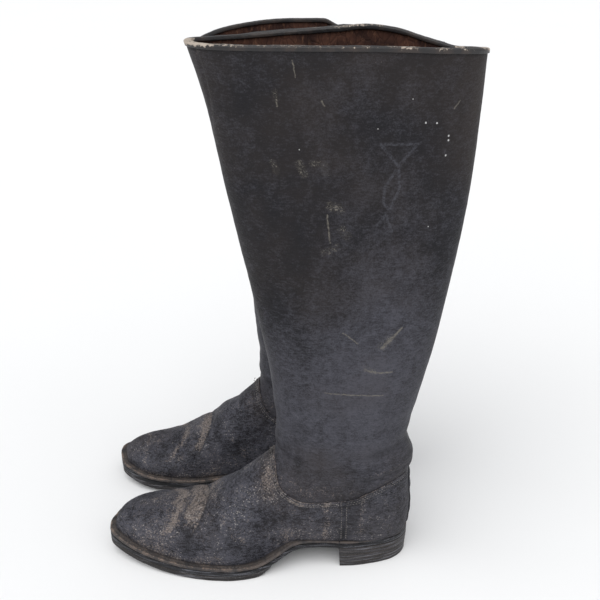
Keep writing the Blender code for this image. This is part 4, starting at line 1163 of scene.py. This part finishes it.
def foot_colours(boot, points):
    """Cloudy grey, rubbed tan behind the toe, at the throat and along its edges, and painted shade in its
    creases and where it meets the welt.
    """
    x, z = points[..., 0], points[..., 2]
    low = feather(x)
    down = way_down(x, z)
    places = boot.varied(points)
    cloud = fractal(places, 0.030, 3, 83)
    main, second = crease_places(boot, x, down)
    toeward = smoothstep(-0.150, -0.200, x)
    small = fractal(places, 0.011, 3, 91)
    streak = fractal(places, (0.0060, 0.020, 0.050), 2, 95)
    ball = smoothstep(-0.215, -0.195, x) * smoothstep(-0.080, -0.110, x)
    pale = 0.61 + 0.08 * toeward + 0.30 * cloud + 0.26 * small + 0.26 * streak * ball
    pale += 0.60 * bell(x, -0.188, 0.022) * smoothstep(0.66, 0.86, down)
    pale += 0.40 * bell(x, -0.262, 0.014) * bell(down, 0.42, 0.22)
    pale += 0.45 * bell(x + 0.030 * down, -0.166, 0.0060) * bell(down, 0.52, 0.26)
    brown = 0.05 + 0.15 * toeward + 0.15 * cloud
    tan = 0.26 + 0.14 * toeward + 0.40 * cloud + 0.28 * small + 0.12 * streak * ball
    ragged = 0.0045 * noise(places, 0.016, 92) + 0.0020 * noise(places, 0.006, 93)
    patchy = 0.75 + 0.45 * noise(places, (0.03, 0.012, 0.012), 94)
    from_toe = x + ragged + 0.036 * np.clip(down, 0, 0.6)
    behind_toe = smoothstep(-0.2115, -0.2050, from_toe) * smoothstep(0.0, -0.0020, main)
    narrow = smoothstep(-0.0120, -0.0060, main) if boot.mirrored else 1.0
    tan += 0.85 * behind_toe * narrow * fading(0.16, 0.36, down) * patchy
    toe_band = -0.2180 - 0.050 * down
    tan += 0.80 * bell(x + ragged, toe_band, 0.0052) * fading(0.28, 0.44, down) * patchy
    tan += 0.35 * bell(x + ragged, toe_band + 0.0120, 0.0040) * bell(down, 0.30, 0.08)
    if boot.mirrored:
        tan += 0.45 * bell(x + ragged, -0.2600, 0.0016) * fading(0.45, 0.60, down)
    tan += 0.35 * bell(second + ragged, 0.0100, 0.0060) * fading(0.60, 0.90, down)
    tan += 0.22 * bell(x, -0.188, 0.022) * smoothstep(0.66, 0.86, down) - 0.20 * bell(x, -0.172, 0.012)
    throat = 0.4 if boot.mirrored else 1.0
    tan += throat * 0.34 * bell(x + ragged, -0.133, 0.008) * smoothstep(0.070, 0.088, z)
    brown += throat * 0.60 * bell(x, -0.133, 0.014) * smoothstep(0.065, 0.088, z)
    tan += 0.30 * bell(z - low, 0.0, 0.006) * toeward
    tan *= 0.72 + 0.28 * smoothstep(-0.060, -0.125, x)
    # Painted shade in the two creases and along the bottom where the upper meets the welt; the cloud term
    # darkens the leather in patches
    dark = 0.42 * bell(main, 0.0008, 0.0016) * fading(0.30, 0.60, down)
    tan += 0.50 * bell(main, -0.0006, 0.0009) * fading(0.25, 0.45, down)
    dark += 0.30 * bell(second, 0, 0.0020) * smoothstep(0.1, 0.3, down) * fading(0.75, 0.95, down)
    dark += 0.50 * smoothstep(0.0026, 0.0, z - low) + 0.30 * smoothstep(-0.35, -0.9, cloud)
    edge = below_seam(x, z)
    dark = dark + 0.40 * bell(edge, 0.0063, 0.0013)
    band = smoothstep(-0.0745, -0.0700, x) * smoothstep(-0.0450, -0.0500, x)
    scratch = 0.55 + 0.75 * noise(places, (0.0016, 0.0016, 0.020), 97)
    dark = dark + 0.62 * band * scratch
    pale += 0.45 * band * smoothstep(0.15, 0.55, noise(places, (0.0015, 0.0015, 0.030), 98))
    tan += 0.40 * bell(x + 0.0010 * small, -0.0450, 0.0022) * smoothstep(0.030, 0.045, z)
    tan += 0.45 * bell(x + 0.0015 * small, -0.0790, 0.0040) + 0.55 * smoothstep(0.0014, 0.0, edge)
    tan += 0.55 * bell(edge, 0.0034, 0.0015) * bell(x, -0.105, 0.035)
    lined = 0.35 + 0.45 * smoothstep(-0.090, -0.040, x) + 0.3 * bell(x, -0.195, 0.025)
    return look_amounts(pale=pale, brown=brown, tan=tan, dark=dark, lined=lined)


def section_line(x, top, side, rows):
    """One side of the foot's cross-section at x, from the welt up."""
    t = np.sin(np.linspace(0, math.pi / 2, rows))
    low = feather(x)
    return on_upper(np.full(rows, x), low + (top - low) * t, side)


def vamp(boot, surface):
    """The front of the foot, and on each side a tab that runs back below the leg's seam."""
    rows, sections = 58, 150
    share = np.linspace(0, 1, sections)
    places = TOE_END + 0.0001 + (THROAT - TOE_END - 0.0001) * share**1.25
    points = []
    normals = []
    for x in places:
        top = float(instep_height(x))
        outer, outer_n = section_line(x, top, -1, rows)
        inner, inner_n = section_line(x, top, 1, rows)
        outer[-1, 1] = 0.0
        points.append(np.concatenate([outer, inner[-2::-1]]))
        normals.append(np.concatenate([outer_n, inner_n[-2::-1]]))
    faces = grid_faces(sections, 2 * rows - 1)
    count = 2 * rows - 1
    base = sections * count
    angles = np.linspace(0, 80, 161)
    top_z = seam_height(angles)
    top_x = x_at_angle(angles, top_z)
    rear = SIDE_SEAM - GAP / 4
    columns = [(THROAT, seam_height(0))]
    for x, z in zip(top_x, top_z):
        if x > columns[-1][0] + 0.0007 and x < rear - 0.0005:
            columns.append((x, z))
    columns.append((rear, seam_at(rear)))
    for side in (-1, 1):
        last = (sections - 1) * count
        previous = [last + (r if side < 0 else count - 1 - r) for r in range(rows)]
        for x, top in columns[1:]:
            line, line_n = section_line(x, top, side, rows)
            points.append(line)
            normals.append(line_n)
            current = [base + r for r in range(rows)]
            base += rows
            for r in range(rows - 1):
                face = [previous[r], previous[r + 1], current[r + 1], current[r]]
                faces.append(face if side < 0 else face[::-1])
            previous = current
    points, normals = np.concatenate(points), np.concatenate(normals)
    lift = foot_relief(boot, points)
    depth = skived(below_seam(points[:, 0], points[:, 2]))
    outer = points + normals * lift[:, None]
    inner = points + normals * (np.minimum(lift, 0.0004) - depth)[:, None]
    mesh, faces = thick(outer, inner, faces)
    values = doubled(foot_colours(boot, points))
    add_piece(boot, "vamp_leather", mesh, faces, surface, ["vamp"], values)


def counter(boot, surface):
    """The leather round the heel, from one side seam to the other."""
    rows = 53
    t = np.linspace(0, 1, rows)[:, None]
    front_x = SIDE_SEAM + GAP / 4
    low = float(feather(front_x))
    start = angle_at(front_x, low + (seam_at(front_x) - low) * t)
    share = np.linspace(0, 1, 56)[None, :]
    angles = start + (180 - start) * share
    grids = []
    for side, order in ((-1, slice(None)), (1, slice(-2, None, -1))):
        z = low + (seam_height(angles) - low) * t
        points, normals = on_upper(x_at_angle(angles, z), z, side)
        grids.append((points[:, order], normals[:, order]))
    points, normals = (np.concatenate([g[k] for g in grids], axis=1) for k in (0, 1))
    x, z = points[..., 0], points[..., 2]
    lift = foot_relief(boot, points) - 0.00035 * bell(x, front_x, 0.0007)
    depth = skived(below_seam(x, z))
    outer = points + normals * lift[..., None]
    inner = points + normals * (np.minimum(lift, 0.0002) - depth)[..., None]
    mesh, faces = thick_grid(outer, inner)
    values = doubled(foot_colours(boot, points))
    add_piece(boot, "counter_leather", mesh, faces, surface, ["counter_cover"], values)


def foot_run(boot, x, z, side):
    """A line on the foot's leather, and its normals."""
    points, normals = on_upper(x, z, side)
    return points + normals * foot_relief(boot, points)[:, None], normals


def beside_seam(row):
    """Places in the side view, a row's distance below the top edge of vamp and counter."""
    x, z = SEAM_LINE
    ahead = np.stack([np.gradient(x), np.gradient(z)], axis=1)
    ahead /= np.linalg.norm(ahead, axis=1)[:, None]
    return x + row * ahead[:, 1], z - row * ahead[:, 0]


def seam_stitches(boot, surface):
    """Two rows below the top edge of vamp and counter, and one on each side of the side seams."""
    runs = []
    for row in SEAM_ROWS:
        x, z = beside_seam(row)
        far = smooth_through(LEG_BACK, z) - 0.0004
        for side in (-1, 1):
            for part in (x < SIDE_SEAM - 0.0010, (x > SIDE_SEAM + 0.0010) & (x < far)):
                runs.append(foot_run(boot, x[part], z[part], side))
    for x in (SIDE_SEAM - 0.0022, SIDE_SEAM + 0.0024):
        z = np.linspace(feather(x) + 0.003, seam_at(x) - 0.0060, 60)
        for side in (-1, 1):
            runs.append(foot_run(boot, np.full(60, x), z, side))
    stitches(
        boot, "seam_stitches", runs, surface,
        length=0.0021, spacing=0.0029, radius=0.00036, sunk=0.00010,
    )


def heel_stay(boot, surface):
    """A strip up the back of the heel."""
    half, low, high, thickness = 0.007, 0.034, 0.094, 0.0012
    rows, columns = 46, 13
    z = np.linspace(low, high, rows)
    across = np.linspace(-1, 1, columns)
    lines = []
    for y in across * half:
        side = -1 if y < 0 else 1
        near = np.full(rows, -0.040)
        far = smooth_through(LEG_BACK, z).copy()
        for _ in range(30):
            middle = (near + far) / 2
            wide = width_squared(middle, z, side) > y * y
            near, far = np.where(wide, middle, near), np.where(wide, far, middle)
        points, normals = on_upper(near, z, side)
        points[:, 1] = y
        lines.append((points, normals))
    points = np.stack([p for p, _ in lines], axis=1)
    normals = np.stack([n for _, n in lines], axis=1)
    normals[:, columns // 2, 1] = 0
    lift = foot_relief(boot, points)
    near_end = smoothstep(0.003, 0, np.minimum(z - low, high - z))[:, None]
    rounded = 0.0005 * (np.abs(across) ** 8)[None, :] + 0.0004 * near_end
    outer = points + normals * (lift + 0.0002 + thickness - rounded)[..., None]
    inner = points + normals * (lift + 0.0001)[..., None]
    mesh, faces = thick_grid(outer, inner)
    values = foot_colours(boot, points)
    values["dark"] = values["dark"] + 0.3 * np.abs(across)[None, :] ** 6
    add_piece(boot, "stay", mesh, faces, surface, ["heel_stay"], doubled(values))


# Bottom


def outline_at(outline, x):
    """The outer and the inner edge of an outline, at the same places."""
    return [np.stack([x, outline.y(x, side)], axis=1) for side in (-1, 1)]


def stations(low, high, count, round_low=True):
    """Places from one end to the other, closer together where an end is round."""
    t = np.linspace(0, 1, count)
    if round_low:
        return low + (high - low) * (1 - np.cos(math.pi * t)) / 2
    return low + (high - low) * np.sin(math.pi / 2 * t)


def inward_of(loop):
    """Unit normals pointing into a closed outline that may hold its end points twice."""
    before, after = np.roll(loop, 1, axis=0), np.roll(loop, -1, axis=0)
    same_before = np.linalg.norm(loop - before, axis=1) < 1e-6
    same_after = np.linalg.norm(loop - after, axis=1) < 1e-6
    before = np.where(same_before[:, None], np.roll(loop, 2, axis=0), before)
    after = np.where(same_after[:, None], np.roll(loop, -2, axis=0), after)
    ahead = after - before
    inward = np.stack([-ahead[:, 1], ahead[:, 0]], axis=1)
    area = np.sum(loop[:, 0] * np.roll(loop[:, 1], -1) - np.roll(loop[:, 0], -1) * loop[:, 1])
    inward *= math.copysign(1, area) / np.maximum(np.linalg.norm(inward, axis=1), 1e-9)[:, None]
    return inward


def slab(boot, name, node, sides, bottom, thickness, surface, slot, rounding, ragged, tan):
    """A layer of the bottom with worn edges. sides are its outer and inner edges at the same places."""
    loop = np.concatenate([sides[0], sides[1][::-1]])
    inward = inward_of(loop)
    # Each step of the edge's section: how many roundings in from the edge, and the share of the thickness
    profile = [(1.6, 1.0), (1.0, 1.0), (0.30, 0.96), (0.05, 0.80), (0.0, 0.55)]
    profile += [(0.0, 0.45), (0.05, 0.20), (0.30, 0.04), (1.0, 0.0), (1.6, 0.0)]
    base = bottom(loop[:, 0])
    rings = []
    values = []
    for inset, share in profile:
        height = np.where(share > 0.5, thickness - (1 - share) * 4 * rounding, share * 4 * rounding)
        if 0.4 < share < 0.6:
            height = thickness * (0.62 if share > 0.5 else 0.38)
        flat = np.column_stack([loop, base + height])
        rough = ragged * fractal(flat + boot.seed, (0.009, 0.009, 0.004), 3, 101)
        rough = np.abs(rough + 0.00006 * noise(flat, 0.0016, 103)) * (inset < 1.2)
        place = loop + inward * (inset * rounding + rough)[:, None]
        rings.append(np.column_stack([place, base + height]))
        on_corner = inset < 0.6 and abs(share - 0.5) > 0.1
        values.append(np.full(len(loop), tan * (1.0 if on_corner else 0.35)))
    faces = grid_faces(len(profile), len(loop), closed=True)
    last = (len(profile) - 1) * len(loop)
    for i in range(len(sides[0]) - 1):
        j = len(loop) - 1 - i
        faces.append([i, i + 1, j - 1, j])
        faces.append([last + j, last + j - 1, last + i + 1, last + i])
    values = {"tan": np.concatenate(values)}
    add_piece(boot, name, np.concatenate(rings), faces, surface, [node], values)


def run_of_edge(kept):
    """The kept places of the sole's edge in order, and the normals that point inwards there."""
    start = int(np.argmax(kept & ~np.roll(kept, 1)))
    order = (start + np.arange(np.count_nonzero(kept))) % len(kept)
    return EDGE.loop[order], inward_of(EDGE.loop)[order]


def edge_strip(boot, name, node, kept, width, surface, tan):
    """The welt round the toe or the rand round the heel, its inner part under the upper."""
    line, normal = run_of_edge(kept)
    # Each step of the section: how far in from the edge, and the share of the thickness
    profile = [(width, 1.0), (0.0060, 1.0), (0.0040, 1.0), (0.0032, 0.96), (0.0024, 1.0), (0.0012, 0.99)]
    profile += [(0.0004, 0.93), (0.0001, 0.78), (0.0, 0.55), (0.0001, 0.22), (0.0006, 0.0), (width, 0.0)]
    loops = []
    values = {"tan": [], "dark": []}
    for inset, share in profile:
        base = welt_bottom(line[:, 0])
        height = share * welt_thickness(line[:, 0])
        flat = np.column_stack([line, base + height])
        rough = 0.00022 * fractal(flat + boot.seed, 0.010, 3, 107) * (inset < 0.003)
        place = line + normal * (inset + np.abs(rough))[:, None]
        loops.append(np.column_stack([place, base + height + 0.4 * rough]))
        look_amounts = tan * (1.0 if 0.0003 < inset < 0.0013 and share > 0.5 else 0.25)
        values["tan"].append(np.full(len(line), look_amounts) * smoothstep(-0.13, -0.19, line[:, 0]))
        # dark: painted shade in the stitch channel and on the part that runs in under the upper
        values["dark"].append(np.full(len(line), 0.7 if 0.0030 < inset < 0.0034 or inset > 0.0045 else 0.0))
    grid = np.stack(loops, axis=1)
    faces = tube_faces(*grid.shape[:2])
    values = {key: np.stack(value, axis=1).ravel() for key, value in values.items()}
    add_piece(boot, name, grid.reshape(-1, 3), faces, surface, [node], values)


def welt_stitches(boot, surface):
    edge, inward = run_of_edge(EDGE.loop[:, 0] < HEEL_BREAST - 0.002)
    top = welt_bottom(edge[:, 0]) + 0.965 * welt_thickness(edge[:, 0])
    line = np.column_stack([edge + inward * WELT_STITCH_INSET, top])
    runs = [(line, np.tile((0.0, 0.0, 1.0), (len(line), 1)))]
    stitches(
        boot, "welt_stitches", runs, surface,
        length=0.0027, spacing=0.0034, radius=0.00042, sunk=0.00012,
    )


def half_sole_share(x):
    """The half sole's width as a share of the sole's, rounded off at its rear corners."""
    ratio = np.clip((x - HALF_SOLE_END + HALF_SOLE_CORNER) / HALF_SOLE_CORNER, 0, 1)
    return np.maximum(1 - ratio**3, 0.02) ** (1 / 3)


def half_sole_bottom(x):
    return outsole_bottom(x) - GAP - HALF_SOLE


def bottom(boot, looks):
    dark = looks["sole"]
    sides = outline_at(EDGE, stations(EDGE.toe[0], EDGE.heel[0], 150))
    slab(
        boot, "sole", "outsole", sides, outsole_bottom, OUTSOLE, dark, "sole_leather",
        rounding=0.0007, ragged=0.00020, tan=0.0,
    )
    x = stations(EDGE.toe[0], HALF_SOLE_END, 110)
    sides = outline_at(EDGE, x)
    for side in sides:
        side[:, 1] *= half_sole_share(x)
    slab(
        boot, "tread_sole", "half_sole", sides, half_sole_bottom, HALF_SOLE, dark, "sole_leather",
        rounding=0.0009, ragged=0.00030, tan=0.25,
    )
    x = EDGE.loop[:, 0]
    edge_strip(boot, "welt_strip", "welt", x < HEEL_BREAST, WELT_REACH, looks["welt"], tan=0.75)
    edge_strip(boot, "rand_strip", "heel_rand", x > HEEL_BREAST + GAP, RAND_REACH, looks["welt"], tan=0.0)
    welt_stitches(boot, looks["thread"])
    heel(boot, looks)


def heel(boot, looks):
    """The top piece and the lifts, each a little ragged and not quite flush with the next."""
    lift = (HEEL_HEIGHT - HEEL_TOP_PIECE - (HEEL_LIFTS + 1) * GAP) / HEEL_LIFTS
    layers = [("heel_top_piece", HEEL_LIFTS * HEEL_TAPER, 0.0, HEEL_TOP_PIECE, "sole")]
    for number in range(1, HEEL_LIFTS + 1):
        base = HEEL_HEIGHT - number * (lift + GAP)
        layers.append((f"heel_lift_{number}", (number - 1) * HEEL_TAPER, base, lift, "heel"))
    for node, inset, base, thickness, look in layers:
        outline = Outline(inset)
        sides = outline_at(outline, stations(HEEL_BREAST + inset, outline.heel[0], 70, round_low=False))
        slab(
            boot, node + "_leather", node, sides, lambda at, base=base: np.full(len(at), base), thickness,
            looks[look], look + "_leather", rounding=0.00055, ragged=0.00024, tan=0.30,
        )


# Pull straps


def strap_patch(boot, place, side, looks):
    """The waisted leather patch that the strap's ends are sewn under."""
    rows, columns = 61, 17
    z = np.linspace(PATCH_BOTTOM, PATCH_TOP, rows)
    t = np.linspace(-1, 1, rows)
    flare = np.sqrt(t**2 + 0.01) / math.sqrt(1.01)
    half = PATCH_WAIST_HALF_WIDTH + (PATCH_HALF_WIDTH - PATCH_WAIST_HALF_WIDTH) * flare
    half = half * np.minimum(1, 0.90 + 0.10 * (1 - np.abs(t)) / 0.03)
    across = np.abs(np.linspace(-1, 1, columns))[None, :]
    x = STRAP_X + half[:, None] * np.linspace(-1, 1, columns)
    points, normals = on_upper(x, z[:, None], side)
    behind = LEATHER + LINING + 4 * GAP
    depth = behind - leg_relief(boot, points)
    rounded = 0.0006 * np.maximum(across**10, (np.abs(t) ** 24)[:, None])
    groove = 0.00025 * bell(across * half[:, None], half[:, None] - PATCH_STITCH_INSET, 0.0006)
    near = points - normals * depth[..., None]
    far = points - normals * (depth + PATCH - rounded - groove)[..., None]
    mesh, faces = thick_grid(far, near)
    node = f"{place}_strap_patch"
    add_piece(boot, f"{place}_patch", mesh, faces, looks["lining"], [node])
    lines = [(STRAP_X + edge * (half - PATCH_STITCH_INSET)[3:-3], z[3:-3]) for edge in (-1, 1)]
    for height in (PATCH_TOP - 0.0030, (PATCH_TOP + PATCH_BOTTOM) / 2, PATCH_BOTTOM + 0.0030):
        width = float(np.interp(height, z, half)) - 0.0040
        lines.append((np.linspace(STRAP_X - width, STRAP_X + width, 30), height))
    runs = []
    for line_x, line_z in lines:
        line, up = on_upper(line_x, line_z, side)
        runs.append((line - up * (behind + PATCH - 0.0001 - leg_relief(boot, line))[:, None], -up))
    stitches(
        boot, f"{place}_patch_stitches", runs, looks["pale_thread"],
        length=0.0019, spacing=0.0027, radius=0.00032, sunk=0.00010,
    )


def strap_frame(boot, place):
    """The strap's hinge and directions in the boot's own frame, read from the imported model's joint."""
    joint = next(j for j in frame["joints"] if j["name"] == f"{boot.name}_{place}_pull_swing")
    pivot = np.array(joint["pos_m"]) - boot.origin
    axis = np.array(joint["axis"], float)
    if boot.mirrored:
        pivot[1] *= -1
        axis = axis * (1, -1, 1)
    side = -1 if pivot[1] < 0 else 1
    along = axis / np.linalg.norm(axis)
    outward = np.array([-along[1], along[0], 0.0])
    if outward[1] * side < 0:
        outward = -outward
    return pivot, along, outward


def pull_strap(boot, place):
    """A tape folded into a flat loop, its edges rounded and its fold a little fuller than its ends."""
    pivot, along, outward = strap_frame(boot, place)
    near = STRAP_FOLD_GAP / 2
    far = STRAP_PLY + near
    fold = far - STRAP_LENGTH
    turns = np.linspace(0, math.pi, 15)
    ladder = np.linspace(0, fold, 14)[:-1]
    outside = [(0.0, z) for z in ladder]
    outside += [(far - far * math.cos(t), fold - far * math.sin(t)) for t in turns]
    outside += [(2 * far, z) for z in ladder[::-1]]
    inside = [(2 * far - STRAP_PLY, z) for z in ladder]
    inside += [(far + near * math.cos(t), fold - near * math.sin(t)) for t in turns]
    inside += [(STRAP_PLY, z) for z in ladder[::-1]]
    middle = (np.array(outside) + np.array(inside)[::-1]) / 2
    half_ply = (np.array(outside) - np.array(inside)[::-1]) / 2
    shares = np.linspace(-1, 1, 15)
    section = [(s, math.sqrt(max(1 - abs(s) ** 12, 0.04))) for s in shares]
    section += [(s, -h) for s, h in reversed(section[1:-1])]
    rings = []
    for k, (centre, ply) in enumerate(zip(middle, half_ply)):
        wave = noise(np.array([centre[1], k * 0.001, 0]), 0.006, 5)
        wave *= math.sin(math.pi * k / (len(middle) - 1))
        for s, h in section:
            inward, up = centre + ply * h
            inward = min(max(inward + 0.00035 * wave * (1 - s * s), 0.0), 2 * far)
            rings.append(pivot + along * (s * STRAP_WIDTH / 2) - outward * inward + np.array([0, 0, up]))
    faces = tube_faces(len(middle), len(section))
    body = f"{boot.name}_{place}_pull"
    flipped = along * (1, -1, 1) if boot.mirrored else along
    surface = webbing(f"{boot.name}_{place}_webbing", flipped, (0, 0, 1))
    node = f"{place}_pull_strap"
    add_piece(boot, f"{place}_tape", np.array(rings), faces, surface, [node], body=body)


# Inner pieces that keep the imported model's shape


def inner_layers(boot, looks):
    """Gives the pieces that scene.py doesn't draw again their own materials."""
    kept = {
        "vamp_lining": looks["lining"],
        "counter_lining": looks["lining"],
        "toe_puff": looks["board"],
        "counter_stiffener": looks["board"],
        "insole": looks["insole"],
        "heel_sock": looks["insole"],
        "cork_filler": looks["cork"],
        "shank": looks["steel"],
    }
    for node, surface in kept.items():
        held = frame["nodes"][f"{boot.name}_{node}"]
        held.data.materials.clear()
        held.data.materials.append(surface)


def build(boot, looks):
    marked = looks["marked"] if boot.name == "left" else looks["leg"]
    leg_panel(boot, "outer", -1, marked)
    leg_panel(boot, "inner", 1, looks["leg"])
    leg_lining(boot, looks["lining"])
    top_binding(boot, looks["binding"])
    vamp(boot, looks["foot"])
    counter(boot, looks["foot"])
    seam_stitches(boot, looks["dusty"])
    heel_stay(boot, looks["foot"])
    bottom(boot, looks)
    for place, side in (("outer", -1), ("inner", 1)):
        strap_patch(boot, place, side, looks)
        pull_strap(boot, place)
    inner_layers(boot, looks)


LEG_WEAR = {"cloudy": 0.60, "flecked": 0, "specks": 0.35, "grain": 0.00030, "gloss": 0.50}
FOOT_WEAR = {"cloudy": 0.80, "flecked": 1, "specks": 0.55, "grain": 0.00040, "gloss": 0.54}

left = Boot("left", False)
right = Boot("right", True)
LOOKS = {
    "leg": worn_leather("leg_leather", **LEG_WEAR),
    "marked": worn_leather("leg_leather_marked", marks=old_marks, **LEG_WEAR),
    "foot": worn_leather("foot_leather", **FOOT_WEAR),
    "lining": lining_leather("lining_leather"),
    "binding": binding_leather("binding_leather"),
    "thread": thread("dark_thread", (0.075, 0.066, 0.062)),
    "dusty": thread("dusty_thread", (0.175, 0.160, 0.150)),
    "pale_thread": thread("pale_thread", (0.30, 0.21, 0.14)),
    "sole": stacked_leather("sole_leather", 0.20),
    "heel": stacked_leather("heel_leather", 0.46),
    "welt": welt_leather("welt_leather"),
    "board": tanned_board("tanned_board"),
    "insole": tanned_board("insole_leather", (0.060, 0.034, 0.022), (0.150, 0.088, 0.052)),
    "cork": cork_grain("cork_grain"),
    "steel": spring_steel("spring_steel"),
}
for each in (left, right):
    build(each, LOOKS)


# Floor, light and camera


FLOOR_HALF_SIZE = 30.0
FLOOR_DROP = 0.0002
SKY_COLOUR = (0.95, 0.97, 1.0, 1.0)
SKY_STRENGTH = 0.42
# Solved from the photo's perspective: ahead of the left boot's origin, to its side and above the ground
CAMERA_AHEAD, CAMERA_Y, CAMERA_HEIGHT = 0.1033, -0.7646, 0.5988
CAMERA_TILT = 64.85
FOCAL_LENGTH = 53.03
SENSOR_WIDTH = 36.0


def floor():
    mesh = bpy.data.meshes.new("floor")
    size = FLOOR_HALF_SIZE
    corners = [(-size, -size, 0), (size, -size, 0), (size, size, 0), (-size, size, 0)]
    mesh.from_pydata(corners, [], [(0, 1, 2, 3)])
    n = Nodes("floor")
    shade = n.mix(n.noise(3.0, 3.0), (0.86, 0.86, 0.86), (0.84, 0.84, 0.84))
    mesh.materials.append(n.finish(shade, 0.9))
    made = bpy.data.objects.new("floor", mesh)
    made.location.z = -FLOOR_DROP
    bpy.context.scene.collection.objects.link(made)


def sun(name, toward, strength, spread_degrees):
    """A large soft light, the same everywhere on the floor."""
    lamp = bpy.data.lights.new(name, "SUN")
    lamp.energy = strength
    lamp.angle = math.radians(spread_degrees)
    made = bpy.data.objects.new(name, lamp)
    made.rotation_euler = Vector(toward).to_track_quat("-Z", "Y").to_euler()
    bpy.context.scene.collection.objects.link(made)


def studio():
    world = bpy.data.worlds.new("studio")
    world.use_nodes = True
    background = world.node_tree.nodes["Background"]
    background.inputs["Color"].default_value = SKY_COLOUR
    background.inputs["Strength"].default_value = SKY_STRENGTH
    bpy.context.scene.world = world
    sun("key", (0.45, 0.55, -1.0), strength=2.1, spread_degrees=70)
    sun("fill", (-0.7, 0.6, -1.0), strength=1.1, spread_degrees=90)


def camera():
    lens = bpy.data.cameras.new("camera")
    lens.lens = FOCAL_LENGTH
    lens.sensor_width = SENSOR_WIDTH
    made = bpy.data.objects.new("camera", lens)
    made.location = (left.origin[0] - CAMERA_AHEAD, CAMERA_Y, CAMERA_HEIGHT)
    made.rotation_euler = (math.radians(CAMERA_TILT), 0.0, 0.0)
    bpy.context.scene.collection.objects.link(made)
    bpy.context.scene.camera = made


floor()
studio()
camera()
bpy.context.scene.view_settings.view_transform = "Standard"
